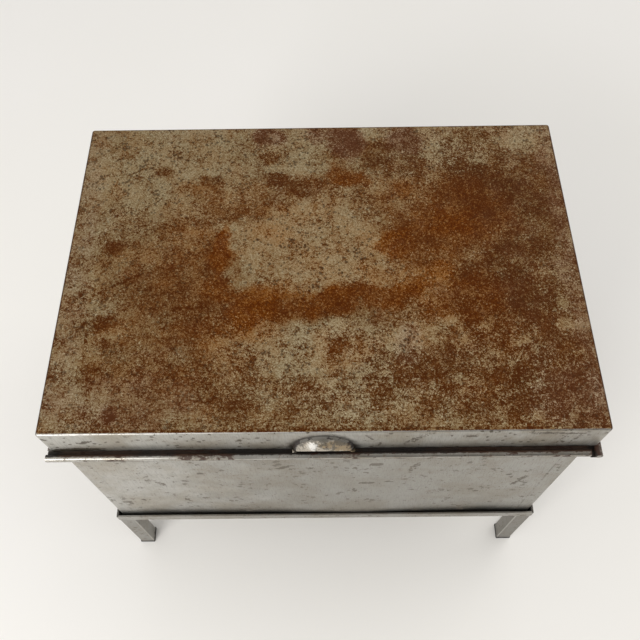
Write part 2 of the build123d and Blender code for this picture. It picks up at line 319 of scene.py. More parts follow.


# %% [markdown]
# ## Where the lid has rusted
#
# The top of the lid is the trunk's portrait: khaki steel with clouds of brown, a bright orange band round a
# clean middle, and purple-brown stains along the back. A noise texture alone would put them anywhere. Each
# stain is therefore a soft ellipse listed one by one, whose outline is disturbed by noise, and the results
# are kept on the mesh as attributes that the shader reads. The fine grain of the rust comes later, in the
# shader.

# %% Stains of rust, listed one by one
# Each stain: middle x and y, half length, half breadth, turn in degrees, strength
RUST_STAINS = [
    (150, 45, 62, 48, 0, 0.34),
    (300, -110, 60, 60, 0, 0.20),
    (195, -60, 40, 40, 0, 0.25),
    (-110, 100, 60, 30, 0, 0.18),
    (-235, 178, 128, 78, 0, -0.42),
    (-325, 0, 26, 235, 0, -0.04),
    (-20, 28, 98, 70, 0, -0.70),
    (-85, 15, 28, 18, 0, -0.25),
    (45, 22, 42, 60, 0, -0.15),
    (-40, -128, 52, 38, 8, -0.36),
    (112, -112, 28, 26, 0, -0.25),
    (10, -222, 50, 16, 0, 0.12),
    (308, 222, 40, 24, 0, -0.45),
    (165, 203, 24, 42, 0, -0.32),
    (-30, 196, 46, 40, 0, -0.40),
    (232, 182, 14, 13, 0, -0.40),
    (285, 172, 11, 8, 0, -0.40),
    (278, 87, 7, 14, 0, -0.60),
    (335, 82, 10, 13, 0, -0.40),
    (242, -18, 8, 8, 0, -0.40),
    (322, -12, 22, 13, 0, -0.35),
    (175, -90, 17, 11, 0, -0.45),
    (322, -95, 22, 10, 0, -0.30),
    (272, -115, 20, 22, 0, -0.20),
    (335, -168, 10, 8, 0, -0.35),
    (175, -178, 7, 18, 0, -0.30),
    (5, -68, 8, 7, 0, -0.35),
    (265, 88, 84, 70, 0, 0.55),
    (235, 125, 38, 28, 0, 0.35),
    (272, -10, 74, 50, 0, 0.42),
    (275, -70, 26, 20, 0, 0.35),
    (247, -168, 98, 72, 0, 0.30),
    (250, -170, 11, 10, 0, 0.50),
    (105, 192, 46, 28, -8, 0.50),
    (-62, 147, 22, 15, 10, 0.36),
    (-24, 125, 27, 25, 0, 0.50),
    (-76, 188, 11, 13, 0, 0.60),
    (-160, 148, 20, 15, 0, 0.48),
    (-230, 165, 16, 9, 0, 0.50),
    (-150, -78, 55, 24, 10, 0.36),
    (-170, -20, 85, 75, 0, 0.14),
    (-170, -150, 110, 60, 0, 0.10),
    (-290, -85, 14, 12, 0, 0.50),
    (-264, -218, 9, 11, 0, 1.10),
    (-285, 28, 13, 13, 0, 0.55),
    (-105, -212, 17, 13, 0, 0.55),
    (-15, -190, 18, 26, 0, 0.30),
    (105, -188, 46, 28, 0, 0.26),
    (-283, -117, 7, 6, 0, 0.60),
    (-233, -108, 7, 6, 0, 0.60),
    (-140, 25, 11, 38, -6, 0.52),
    (-142, -35, 24, 20, -20, 0.46),
    (-92, -62, 26, 27, -40, 0.55),
    (-45, -60, 34, 22, 0, 0.62),
    (15, -62, 26, 20, 0, 0.66),
    (80, -52, 46, 14, 0, 0.60),
    (107, 38, 24, 18, 0, 0.60),
    (150, 48, 48, 52, 0, 0.32),
    (38, 152, 30, 17, -12, 0.55),
    (38, 218, 24, 28, 0, 0.60),
    (128, 222, 24, 22, 0, 0.46),
    (-80, 230, 20, 17, 0, 0.52),
    (-70, 228, 7, 7, 0, -0.80),
    (-7, 228, 9, 14, 0, 0.44),
    (75, 232, 18, 14, 0, -0.30),
    (222, -48, 70, 44, 0, 0.38),
    (225, 205, 76, 38, 0, 0.30),
    (215, 128, 60, 40, 0, 0.22),
    (-172, 122, 30, 24, 0, 0.44),
    (25, -125, 28, 20, 0, 0.30),
    (128, -160, 26, 34, 0, 0.56),
    (230, 150, 90, 56, 0, 0.16),
    (326, 150, 26, 60, 0, 0.28),
    (-175, 226, 40, 22, 0, -0.45),
    (-225, -125, 30, 26, 0, 0.26),
    (275, -180, 40, 30, 0, 0.40),
]

# %% Where the rust is orange
ORANGE_STAINS = [
    (-10, 20, 100, 75, 0, 0.34),
    (-200, -120, 120, 80, 0, 0.20),
    (250, -165, 100, 80, 0, 0.18),
    (-140, 28, 12, 38, -6, 0.95),
    (-142, -35, 24, 20, -20, 0.60),
    (-92, -62, 30, 30, -40, 0.75),
    (-45, -60, 34, 24, 0, 0.60),
    (15, -62, 30, 20, 0, 0.75),
    (80, -52, 46, 14, 0, 0.70),
    (-80, -100, 30, 18, 0, 0.40),
    (107, 38, 26, 20, 0, 0.90),
    (150, 48, 55, 55, 0, 0.34),
    (215, 90, 60, 60, 0, 0.35),
    (160, -12, 14, 16, 0, 0.75),
    (38, 152, 30, 18, -12, 0.70),
    (-75, 95, 22, 12, 0, 0.30),
    (190, -60, 60, 30, 0, 0.30),
    (-165, 95, 60, 50, 0, 0.32),
    (-195, 15, 66, 50, 0, 0.32),
    (100, -25, 46, 24, 0, 0.40),
    (25, -125, 40, 30, 0, 0.34),
    (130, 125, 30, 22, 0, 0.28),
    (165, 50, 90, 100, 0, 0.26),
    (-75, 75, 40, 40, 0, 0.20),
    (20, 125, 110, 36, 0, 0.20),
    (-100, -105, 60, 46, 0, 0.20),
    (175, -70, 70, 60, 0, 0.30),
]

# %% Where the rust is violet
VIOLET_STAINS = [
    (38, 218, 28, 32, 0, 0.90),
    (128, 222, 26, 24, 0, 0.80),
    (-80, 230, 22, 20, 0, 0.80),
    (-7, 228, 12, 16, 0, 0.70),
    (-62, 147, 26, 20, 10, 0.15),
    (-24, 125, 30, 28, 0, 0.10),
    (345, 0, 20, 245, 0, 0.40),
    (300, -205, 60, 40, 0, 0.45),
    (112, -120, 20, 30, 0, 0.50),
    (-264, -218, 12, 12, 0, 0.40),
    (-338, 0, 24, 250, 0, 0.34),
    (330, 0, 90, 250, 0, 0.24),
    (-240, -205, 90, 40, 0, 0.40),
    (0, 240, 350, 14, 0, 0.20),
]

# %% Where the tone is deepest
DEEP_STAINS = [
    (-235, 10, 75, 75, 0, 0.28),
    (-200, -110, 120, 70, 0, 0.26),
    (-225, -190, 100, 40, 0, 0.20),
    (-160, -20, 50, 50, 0, 0.22),
    (250, -165, 100, 80, 0, 0.22),
    (260, -30, 90, 60, 0, 0.22),
    (-310, 210, 8, 5, 0, 0.90),
    (-125, 190, 11, 5, 10, 0.50),
    (12, 192, 8, 7, 0, 0.80),
    (82, 109, 14, 16, 0, 0.45),
    (-78, 95, 6, 12, 0, 0.70),
    (-62, -173, 6, 9, 0, 0.70),
    (72, 10, 5, 5, 0, 0.70),
    (-8, 99, 5, 5, 0, 0.70),
    (-250, -20, 22, 6, 28, 0.55),
    (-264, -218, 8, 10, 0, 1.30),
    (-285, 28, 11, 11, 0, 0.60),
    (-290, -85, 12, 9, 0, 0.60),
    (-105, -212, 13, 10, 0, 0.70),
    (-76, 188, 9, 12, 0, 0.70),
    (-62, 147, 18, 13, 10, 0.50),
    (-160, 150, 14, 10, 0, 0.60),
    (-230, 167, 13, 6, 6, 0.80),
    (-283, -117, 6, 5, 0, 0.70),
    (-233, -108, 6, 5, 0, 0.60),
    (162, -135, 9, 15, 0, 0.60),
    (90, 212, 26, 7, -4, 0.60),
    (80, 186, 14, 14, 0, 0.60),
    (38, 220, 20, 24, 0, 0.50),
    (128, 224, 18, 18, 0, 0.50),
    (-82, 232, 14, 14, 0, 0.60),
    (325, -190, 16, 7, 0, 0.50),
    (322, -230, 22, 9, 0, 0.50),
    (20, -240, 300, 4, 0, 0.30),
    (240, 118, 62, 48, 0, 0.46),
    (260, 60, 70, 60, 0, 0.26),
    (158, 58, 46, 44, 0, 0.26),
    (-24, 125, 20, 18, 0, 0.40),
    (250, -170, 12, 10, 0, 0.80),
    (15, -66, 90, 22, 0, 0.34),
    (225, -50, 64, 44, 0, 0.48),
    (25, -76, 30, 14, 0, 0.28),
    (225, 125, 50, 40, 0, 0.14),
    (325, 120, 30, 60, 0, 0.20),
    (125, 130, 30, 26, 0, 0.22),
    (-25, 222, 26, 20, 0, 0.14),
    (230, -100, 40, 36, 0, 0.16),
    (-25, -222, 40, 18, 0, 0.22),
    (322, -222, 30, 20, 0, 0.22),
]

# %% Where the rust's grain is strongest
BUSY_STAINS = [
    (0, 20, 105, 75, 0, 0.02),
    (150, 40, 60, 50, 0, -0.25),
    (-220, -10, 90, 90, 0, -0.20),
    (255, 90, 90, 70, 0, -0.15),
    (235, -165, 110, 70, 0, 0.40),
    (20, -165, 140, 60, 0, 0.45),
    (165, 195, 60, 45, 0, 0.40),
    (-220, 165, 130, 80, 0, -0.16),
    (-20, -62, 110, 22, 0, -0.45),
    (-190, -45, 80, 50, 0, -0.22),
    (-215, -110, 90, 45, 0, -0.16),
]

# %% Marks on the skirt and the front wall
# A mark's middle is given by x and z
SKIRT_MARKS = [
    (-316, 512, 40, 7, 4, 0.75),
    (-293, 542, 8, 3, 12, 1.00),
    (-300, 536, 5, 3, 0, 0.90),
    (-105, 541, 5, 2.5, 0, 0.85),
    (-345, 552, 4, 3, 0, 0.90),
    (70, 527, 3, 4, 0, 0.80),
    (-180, 520, 5, 2.5, 0, 0.75),
    (118, 545, 30, 6, 50, 0.50),
    (285, 556, 44, 3, -3, 0.62),
    (312, 535, 3, 22, -12, 0.50),
    (296, 538, 3, 20, -12, 0.50),
    (180, 549, 12, 3, 0, 0.70),
]
FRONT_MARKS = [
    (-175, 398, 6, 4, 0, 0.95),
    (-52, 427, 9, 4, 30, 0.90),
    (-62, 419, 9, 3, 0, 0.80),
    (-20, 420, 5, 4, 0, 0.90),
    (72, 432, 10, 6, 0, 0.85),
    (58, 412, 8, 3, 0, 0.75),
    (43, 418, 4, 4, 0, 0.85),
    (125, 418, 6, 22, -14, 0.60),
    (62, 345, 12, 6, 0, 0.75),
    (60, 395, 5, 3, 0, 0.70),
    (95, 350, 9, 3, 0, 0.80),
    (282, 338, 3, 14, -16, 0.80),
    (265, 378, 5, 4, 0, 0.85),
    (270, 366, 4, 3, 0, 0.80),
    (230, 295, 6, 3, 0, 0.75),
    (288, 362, 5, 12, -20, 0.75),
    (-215, 262, 4, 12, 20, 0.80),
    (-148, 255, 5, 3, 0, 0.75),
    (45, 310, 4, 10, 10, 0.75),
    (-308, 247, 4, 12, 0, 0.60),
    (-240, 352, 6, 18, 24, 0.55),
    (195, 255, 8, 3, 0, 0.70),
    (-228, 470, 9, 3, 0, 0.70),
    (-262, 400, 4, 3, 0, 0.70),
    (-285, 262, 5, 8, 0, 0.60),
]

# %% Add up the stains
WANDER_PITCH = 34
SMALL_STAIN = 70
STAIN_REACH = 1.4
STAIN_FALL = 0.7


def stain_sum(x, y, stains, raggedness):
    """Adds soft ellipses, each an eased fall from its strength to nothing. Noise moves large ones most."""
    wander_x = cloud(x, y, WANDER_PITCH, 1, 4)
    wander_y = cloud(x, y, WANDER_PITCH, 2, 4)
    total = np.zeros_like(x)
    for middle_x, middle_y, half_length, half_breadth, turn, strength in stains:
        angle = math.radians(turn)
        push = raggedness * min(1, (half_length + half_breadth) / SMALL_STAIN)
        dx = x + push * wander_x - middle_x
        dy = y + push * wander_y - middle_y
        along = (dx * math.cos(angle) + dy * math.sin(angle)) / half_length
        across = (dy * math.cos(angle) - dx * math.sin(angle)) / half_breadth
        total += strength * ease(np.clip((STAIN_REACH - np.hypot(along, across)) / STAIN_FALL, 0, 1))
    return total


placed = (RUST_STAINS, ORANGE_STAINS, VIOLET_STAINS, DEEP_STAINS, BUSY_STAINS, SKIRT_MARKS, FRONT_MARKS)
print("stains and marks placed:", sum(map(len, placed)))

# %% [markdown]
# ## The lid's sheet
#
# The lid is one sheet with its four sides turned down and the bend rolled to a small radius. A bevelled box
# would give the shape, but not the sag of the panel or a skirt edge that wanders by half a millimetre. So
# the panel is a grid, and the bend and skirt are a profile carried round the panel's own edge. Where both
# share points they are merged, and a Solidify modifier turns the surface into 1.2 mm steel.

# %% Sizes of the lid
lid_low, lid_high = (np.array(corner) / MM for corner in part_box("lid_shell"))
LID_MIDDLE = (lid_low + lid_high) / 2
LID_HALF = (lid_high - lid_low) / 2
LID_TOP, SKIRT_BOTTOM = lid_high[2], lid_low[2]
SKIRT_HEIGHT = LID_TOP - SKIRT_BOTTOM
SHEET = 1.2
EDGE_RADIUS = 2.6
CORNER_RADIUS = 4.0
STRAIGHT_U, STRAIGHT_V = LID_HALF[:2] - CORNER_RADIUS
LID_PITCH = 4.0
print("lid, mm:", np.round(2 * LID_HALF, 1))


def grid_lines(straight):
    """Lines across the lid: even along the straight part, then two half steps over the corner's arc."""
    count = int(2 * straight / LID_PITCH)
    arc = np.array([0.5, 1.0]) * CORNER_RADIUS
    return np.concatenate([-straight - arc[::-1], np.linspace(-straight, straight, count), straight + arc])


def round_corners(u, v, radius):
    """Maps a square corner to a round one: distance is the larger of the two steps past the straight part."""
    p = np.clip(np.abs(u) - STRAIGHT_U, 0, None) / CORNER_RADIUS
    q = np.clip(np.abs(v) - STRAIGHT_V, 0, None) / CORNER_RADIUS
    far = np.maximum(p, q)
    near = np.minimum(p, q)
    angle = math.pi / 4 * near / np.maximum(far, 1e-9)
    angle = np.where(q > p, math.pi / 2 - angle, angle)
    new_u = np.clip(u, -STRAIGHT_U, STRAIGHT_U) + np.sign(u) * radius * far * np.cos(angle)
    new_v = np.clip(v, -STRAIGHT_V, STRAIGHT_V) + np.sign(v) * radius * far * np.sin(angle)
    return new_u, new_v


# %% Work out the lid's panel
SAG = 0.9
SAG_BORDER = 60
grid_u, grid_v = np.meshgrid(grid_lines(STRAIGHT_U), grid_lines(STRAIGHT_V))
panel_x, panel_y = round_corners(grid_u, grid_v, CORNER_RADIUS - EDGE_RADIUS)
panel_y = panel_y + LID_MIDDLE[1]
from_edge = np.minimum(LID_HALF[0] - np.abs(grid_u), LID_HALF[1] - np.abs(grid_v))
sag = SAG * np.clip(from_edge / SAG_BORDER, 0, 1) * (0.5 + 0.5 * cloud(panel_x, panel_y, 150, 5, 2))
panel = np.stack([panel_x, panel_y, LID_TOP - sag], -1)
print("deepest sag, mm:", round(float(sag.max()), 2))

# %% Work out the bend and the skirt
BEND_POINTS = 6
SKIRT_POINTS = 15
SKIRT_GIVE = 0.45
EDGE_WANDER = 0.7
rows, columns = grid_u.shape
around = np.concatenate(
    [
        np.arange(columns),
        columns * np.arange(1, rows) + columns - 1,
        columns * (rows - 1) + np.arange(columns - 2, -1, -1),
        columns * np.arange(rows - 2, 0, -1),
    ]
)
edge_u, edge_v = grid_u.ravel()[around], grid_v.ravel()[around]
bend = np.linspace(0, math.pi / 2, BEND_POINTS)
skirt_depths = np.linspace(EDGE_RADIUS, SKIRT_HEIGHT, SKIRT_POINTS)[1:]
profile_out = EDGE_RADIUS * np.concatenate([np.sin(bend), np.ones_like(skirt_depths)])[:, None]
profile_down = np.concatenate([EDGE_RADIUS * (1 - np.cos(bend)), skirt_depths])[:, None]
band_x, band_y = round_corners(edge_u[None, :], edge_v[None, :], CORNER_RADIUS - EDGE_RADIUS + profile_out)

run = np.cumsum(np.hypot(np.diff(edge_u, prepend=edge_u[0]), np.diff(edge_v, prepend=edge_v[0])))
run, down = np.broadcast_arrays(run[None, :], profile_down / SKIRT_HEIGHT)
give = SKIRT_GIVE * np.clip(down * 1.4 - 0.3, 0, 1) * (0.5 + 0.5 * cloud(run, 60 * down, 85, 3, 2))
edge_lift = EDGE_WANDER * down**6 * (0.5 + 0.5 * cloud(run, np.zeros_like(run), 24, 4, 3))
band = np.stack(
    [
        band_x * (1 - give / LID_HALF[0]),
        band_y * (1 - give / LID_HALF[1]) + LID_MIDDLE[1],
        LID_TOP - profile_down + edge_lift,
    ],
    -1,
)
lid_points = np.concatenate([panel.reshape(-1, 3), band.reshape(-1, 3)])
band_faces = grid_faces(len(profile_out), len(around), rows * columns, True)[:, ::-1]
lid_faces = np.concatenate([grid_faces(rows, columns), band_faces])
print("lid surface points:", len(lid_points))

# %% [markdown]
# ## Materials of the lid
#
# Burnished steel is a metal with a soft gloss, and rust on it is not a metal at all. The lid's shader
# therefore mixes two finishes by a mask. The attributes say how much of each spot is rusted, and fine noise
# compared with that amount breaks it into grains of one to four millimetres, as rust that has been sanded
# and waxed looks.

# %% Colours of the steel and its rust
# Each list runs from clean steel to the deepest rust
PLAIN_TONES = [
    linear(179, 167, 138),
    linear(160, 146, 116),
    linear(139, 119, 86),
    linear(118, 91, 56),
    linear(98, 61, 27),
    linear(70, 34, 6),
]
ORANGE_TONES = [
    linear(172, 148, 112),
    linear(158, 124, 82),
    linear(142, 96, 46),
    linear(122, 72, 20),
    linear(102, 51, 4),
    linear(80, 34, 0),
]
VIOLET_TONES = [
    linear(176, 158, 135),
    linear(158, 137, 114),
    linear(137, 112, 88),
    linear(117, 85, 61),
    linear(99, 63, 39),
    linear(78, 43, 21),
]
RUST_BROWN = linear(88, 56, 34)
RUST_DARK = linear(58, 30, 12)
SMUDGE = linear(122, 108, 88)
SPECK = linear(78, 68, 54)
DOT = linear(58, 41, 24)
SILVER = linear(190, 188, 182)
SILVER_WARM = linear(170, 163, 150)
STEEL_DARK = linear(104, 100, 92)
# Pale colour laid on as a painted highlight on the lid's front bend and along the legs' edges
PAINTED_HIGHLIGHT = linear(226, 223, 217)
# Near-white laid on as a painted highlight on the finger pull
PAINTED_GLINT = linear(244, 243, 240)
# Near-black: dirt in some places, and painted shade or shadow in the gaps, gutters and joints where it is
# laid
GRIME_AND_SHADE = linear(30, 20, 14)
TARNISH = linear(152, 134, 106)
NICKEL = linear(188, 183, 174)

# Each ring: middle x and y, radius. Each line: from x, y to x, y, half breadth.
WATER_RINGS = [
    (-315, -42, 10),
    (-318, -90, 8),
    (-288, -165, 10),
    (-145, -190, 12),
    (5, 35, 5),
    (-12, -2, 6),
]
DARK_LINES = [
    (-306, 120, -297, 152, 1.2),
    (-297, 152, -262, 172, 1.2),
    (-262, 172, -235, 176, 1.2),
    (-300, -42, -246, -12, 2.2),
    (-307, -105, -307, -150, 1.6),
    (-296, -190, -290, -235, 1.6),
    (-196, -68, -174, -67, 2.4),
    (-42, -170, 18, -169, 1.2),
    (34, -172, 62, -171, 1.0),
    (66, -171, 150, -172, 1.1),
    (268, 191, 322, 189, 0.8),
    (274, 183, 300, 180, 0.8),
    (-346, -238, -60, -240, 1.3),
    (-40, -239, 346, -239, 1.5),
]


def distance_to_line(paint, from_x, from_y, to_x, to_y):
    """Distance in mm from a spot to a straight mark: the shortest way to any point between its ends."""
    length = math.hypot(to_x - from_x, to_y - from_y)
    along_x, along_y = (to_x - from_x) / length, (to_y - from_y) / length
    x, y = paint.x - from_x, paint.y - from_y
    along = x * along_x + y * along_y
    across = abs(y * along_x - x * along_y)
    return paint.largest(across, 0 - along, along - length)


# %% Steel and scratches that several pieces share
def steel_tone(paint, cloud_size):
    """Silver grey that drifts towards a warmer, darker grey in clouds."""
    drift = paint.smooth(paint.noise(cloud_size, 5, 0.6), 0.38, 0.66)
    return paint.mix(SILVER, SILVER_WARM, drift)


def scratches(paint, size, length, turns):
    """Fine straight marks: noise drawn out along one direction at each turn, kept only where it peaks."""
    streaks = [
        paint.noise(size, 2, 0.5, (1, length, 1), (0, 0, turn), (0, 0, 31 * number))
        for number, turn in enumerate(turns)
    ]
    return paint.largest(*(paint.smooth(streak, 0.66, 0.74) for streak in streaks))


# %% Noises and masks that the lid's finishes share
class LidPaint(Paint):
    """The lid's material under construction, with noises that lie about 0.5 and masks from 0 to 1."""

    def __init__(self):
        super().__init__("lid_patina")
        self.rust = self.attribute("rust")
        self.patches = self.noise(26, 3, 0.6)
        self.clumps = self.noise(10, 3, 0.6, shift=(40, 0, 0))
        self.grain = self.noise(5.2, 2, 0.6, curl=1.4)
        self.fine = self.noise(2.0, 3, 0.65, shift=(0, 60, 0), curl=1.2)
        facing = self.add("ShaderNodeTexCoord", {}, {}, "Normal")
        self.upward = self.smooth(self.add("ShaderNodeSeparateXYZ", {}, {"Vector": facing}, "Z"), 0.05, 0.35)
        from_side, from_front = LID_HALF[0] - abs(self.x), LID_HALF[1] - abs(self.y - LID_MIDDLE[1])
        self.inset = self.maths("MINIMUM", from_side, from_front)
        # Painted sheen: a mask that lightens the lid towards its left end
        self.left_sheen = 1 - self.smooth(self.x + (self.patches - 0.5) * 160, -300, -60)
        self.at_front = 1 - self.smooth(self.y, lid_low[1] + 3, lid_low[1] + 6)
        self.side_shade = self.smooth(self.noise(1.3, 3, 0.6, (1, 1, 26), (4, 3, 0)), 0.42, 0.70) * 0.32


# %% Old marks on the lid's top
def old_marks(paint):
    """Scratches, water rings and dark lines, each made ragged and broken up by noise."""
    wander = (paint.clumps - 0.5) * 14 + (paint.grain - 0.5) * 8
    marks = [scratches(paint, 1.5, 30, (8, 52, 97, 140)) * 0.45]
    for ring_x, ring_y, radius in WATER_RINGS:
        from_ring = abs(paint.reach(paint.x - ring_x, paint.y - ring_y) - radius + wander)
        ring = 1 - paint.smooth(from_ring, 0.4, 3.4)
        marks.append(ring * paint.smooth(paint.clumps + paint.grain, 0.86, 1.06) * 0.8)
    for *ends, breadth in DARK_LINES:
        from_line = distance_to_line(paint, *ends) + wander * 0.35
        line = 1 - paint.smooth(from_line, breadth * 0.4, breadth * 2.0)
        marks.append(line * paint.smooth(paint.clumps + paint.grain, 0.88, 1.04) * 0.9)
    return paint.largest(*marks)


# %% Depth of tone on the lid's top
def top_tone(paint):
    """0 is clean steel and 1 the deepest rust. Noise breaks the rust into grains where it is busy."""
    noises = (paint.patches, paint.clumps, paint.grain, paint.fine)
    patches, clumps, grain, fine = (noise - 0.5 for noise in noises)
    broken = paint.smooth(paint.rust + (patches * 1.5 + clumps * 1.4 + grain * 1.4 + fine * 2.7), 0.24, 0.76)
    film = paint.rust + (broken - paint.rust) * (0.26 + paint.attribute("busy") * 0.74)
    tone = 0.265 + film * 0.62 + paint.attribute("deep") * 0.26 + patches * 0.22 + grain * 0.20 + fine * 1.75
    brushing = paint.noise(1.7, 2, 0.6, (9, 1, 1), shift=(0, 0, 3)) - 0.5
    tone = tone + brushing * (1 - paint.smooth(paint.y + clumps * 60, -222, -140)) * 0.7
    pale_specks = 1 - paint.smooth(paint.pits(3.8, (40, 3, 0)) + fine * 0.8 - clumps * 1.6, 0.20, 0.30)
    worm = paint.noise(8, 1, 0.5, shift=(2, 7, 0))
    worms = 1 - paint.smooth(abs(worm - 0.5), 0.010, 0.050)
    worms = worms * paint.smooth(paint.patches + paint.grain, 0.96, 1.10)
    rubs = scratches(paint, 1.4, 26, (27, 71, 118)) * paint.smooth(paint.patches + paint.clumps, 0.94, 1.10)
    return tone - pale_specks * paint.rust * 0.34 + old_marks(paint) * 0.52 + worms * 0.42 - rubs * 0.16


# %% Colour of the lid's top
def top_colour(paint, tone):
    """Plain, orange and violet runs of tone, mixed by the stains, with dark dots on the cleaner steel."""
    hue = paint.noise(34, 4, 0.65, shift=(11, 5, 0))
    other_hue = paint.noise(30, 4, 0.65, shift=(5, 31, 0))
    orange = paint.attribute("orange") * (0.45 + paint.clumps * 0.9) + (hue - 0.45) * 1.3
    violet = paint.attribute("violet") + (other_hue - 0.53) * 2.0 * paint.rust
    colour = paint.mix(paint.ramp(tone, PLAIN_TONES), paint.ramp(tone, ORANGE_TONES), orange)
    colour = paint.mix(colour, paint.ramp(tone, VIOLET_TONES), violet)
    dots = paint.pits(5.2) + (paint.fine - 0.5) * 0.8 - (paint.clumps - 0.5) * 1.7
    return paint.mix(colour, DOT, (1 - paint.smooth(dots, 0.18, 0.24)) * (1 - paint.rust * 0.9) * 0.85)


# %% Colour of the lid's sides and inside
PULL_HALF_WIDTH = 38.5
PULL_CENTRE_RISE = 7.0


def side_colour(paint):
    """Scrubbed silver, darker inside, with haze and specks, a painted sheen at the left end, dirt and painted
    shade along the lower edge, a darker patch round the pull, and a painted highlight along the front bend.
    """
    inner = (1 - paint.upward) * paint.smooth(paint.inset, 0.6, 1.0)
    silver = paint.mix(steel_tone(paint, 60), STEEL_DARK, 0.22 - paint.left_sheen * 0.18 + inner * 0.45)
    silver = paint.mix(silver, STEEL_DARK, paint.side_shade)
    haze = paint.smooth(paint.x + (paint.clumps - 0.5) * 300, 20, 300)
    haze = haze * paint.smooth(paint.patches, 0.38, 0.6)
    stained = inner * paint.smooth(paint.patches + paint.grain, 0.92, 1.12)
    silver = paint.mix(silver, SMUDGE, haze * 0.35 + stained * 0.6)
    pits = paint.pits(11, (9, 0, 0)) + (paint.grain - 0.5) * 0.8 - (paint.patches - 0.5) * 0.5
    silver = paint.mix(silver, SPECK, (1 - paint.smooth(pits, 0.15, 0.21)) * 0.8)
    placed = paint.smooth(paint.attribute("marks") + (paint.grain - 0.5) * 1.6, 0.42, 0.60)
    silver = paint.mix(silver, SPECK, placed * 0.85)
    # Dirt and painted shade along the skirt's lower edge, in the gap above the rim
    above_edge = paint.z - SKIRT_BOTTOM + (paint.clumps - 0.5) * 8
    silver = paint.mix(silver, GRIME_AND_SHADE, (1 - paint.smooth(above_edge, 0.3, 2.9)) * 0.95)
    # The skirt is darkened round the pull
    from_pull = paint.reach(paint.x, paint.z - (SKIRT_BOTTOM + PULL_CENTRE_RISE)) + (paint.clumps - 0.5) * 12
    on_face = 1 - paint.smooth(paint.y, lid_low[1] + 0.35, lid_low[1] + 3.35)
    halo = (1 - paint.smooth(from_pull, PULL_HALF_WIDTH, PULL_HALF_WIDTH + 11.5)) * on_face
    silver = paint.mix(silver, GRIME_AND_SHADE, halo * 0.9)
    # Painted highlight: a pale line along the front bend, strongest at the left end
    edge_highlight = paint.smooth(paint.inset, 0.5, 1.0) * paint.at_front * (0.40 + paint.left_sheen * 0.35)
    return paint.mix(silver, PAINTED_HIGHLIGHT, edge_highlight * paint.smooth(paint.grain + paint.clumps, 0.80, 1.0))


# %% Join the lid's finishes
def paint_lid():
    """Rust where the sheet faces up, silver at worn edges and below, and rust with a painted dark reflection
    along the bend at the back and ends.
    """
    paint = LidPaint()
    tone = top_tone(paint)
    # The front bend is kept silver, most of all at the left end where the painted sheen lies
    worn_edge = paint.inset + (paint.fine - 0.5) * 1.2 - paint.at_front * (0.5 + paint.left_sheen * 0.9)
    on_top = paint.smooth(worn_edge, 0.9, 1.5) * paint.upward
    colour = paint.mix(side_colour(paint), top_colour(paint, tone), on_top)
    # Rust and a painted dark reflection along the bend at the back and both ends
    outer = paint.largest(abs(paint.x) - LID_HALF[0], paint.y - lid_high[1]) + (paint.clumps - 0.5) * 3
    bend_rust_and_reflection = paint.smooth(outer, -3.4, -1.4) * paint.smooth(paint.z, LID_TOP - 7.5, LID_TOP - 3.5)
    rusted = on_top * paint.smooth(tone, 0.25, 0.75)
    paint.shader.inputs["Specular IOR Level"].default_value = 0.06
    return paint.finish(
        height=on_top * tone * 0.5 + paint.fine * 0.25 + paint.side_shade * 0.5,
        depth=0.12,
        Base_Color=paint.mix(colour, RUST_DARK, bend_rust_and_reflection * 0.80),
        Metallic=0.85 - on_top * 0.35 - rusted * 0.3,
        Roughness=0.40 + rusted * 0.14 + (paint.clumps - 0.5) * 0.25,
    )


# %% Make the lid
lid_skin = make_piece(
    "lid_skin", lid_points, lid_faces, "lid", paint_lid(), ["lid_shell"], crease=60
)
merged = bmesh.new()
merged.from_mesh(lid_skin.data)
bmesh.ops.remove_doubles(merged, verts=merged.verts, dist=0.01 * MM)
bmesh.ops.recalc_face_normals(merged, faces=merged.faces)
merged.to_mesh(lid_skin.data)
merged.free()
lid_skin.data.shade_smooth()

# %% Keep the stains on the lid's mesh
places = np.zeros(len(lid_skin.data.vertices) * 3)
lid_skin.data.vertices.foreach_get("co", places)
spot_x, spot_y, spot_z = (places.reshape(-1, 3) / MM).T
broad = cloud(spot_x, spot_y, 70, 8, 4)
on_front = (spot_y < lid_low[1] + 2.0) & (spot_z < LID_TOP - EDGE_RADIUS)
lid_fields = {
    "rust": 0.50 + 0.33 * np.tanh(2.3 * (0.12 * broad - 0.03 + stain_sum(spot_x, spot_y, RUST_STAINS, 26))),
    "orange": stain_sum(spot_x, spot_y, ORANGE_STAINS, 26) + 0.1 * cloud(spot_x, spot_y, 40, 9, 3),
    "violet": stain_sum(spot_x, spot_y, VIOLET_STAINS, 20) + 0.10 * cloud(spot_x, spot_y, 60, 10, 3) - 0.06,
    "deep": stain_sum(spot_x, spot_y, DEEP_STAINS, 20) + 0.15 * cloud(spot_x, spot_y, 50, 12, 4),
    "busy": 0.32 + stain_sum(spot_x, spot_y, BUSY_STAINS, 24) + 0.45 * cloud(spot_x, spot_y, 55, 14, 3),
    "marks": stain_sum(spot_x, spot_z, SKIRT_MARKS, 3) * on_front,
}
for field, values in lid_fields.items():
    set_field(lid_skin, field, np.clip(values, 0, 1))
    print(field, "mean:", round(float(np.clip(values, 0, 1).mean()), 3))

thickness = lid_skin.modifiers.new("sheet", "SOLIDIFY")
thickness.thickness = SHEET * MM
thickness.offset = -1.0
thickness.use_even_offset = True

# %% [markdown]
# ## Bare steel on the body, the rims and the stand
#
# The rest of the trunk is the same sheet steel, rubbed brighter. Its grain runs up and down, because the
# walls were scrubbed that way, with small rust spots where the scrubbing missed. One recipe with other
# numbers serves the rims, the stand and the fittings too, so that they look like one family and still
# differ. It is a class, so that each piece can add stains of its own before the material is closed.

# %% Recipe for bare steel
LENGTHWAYS, SIDEWAYS, UPWARDS = (40, 1, 1), (1, 40, 1), (1, 1, 34)


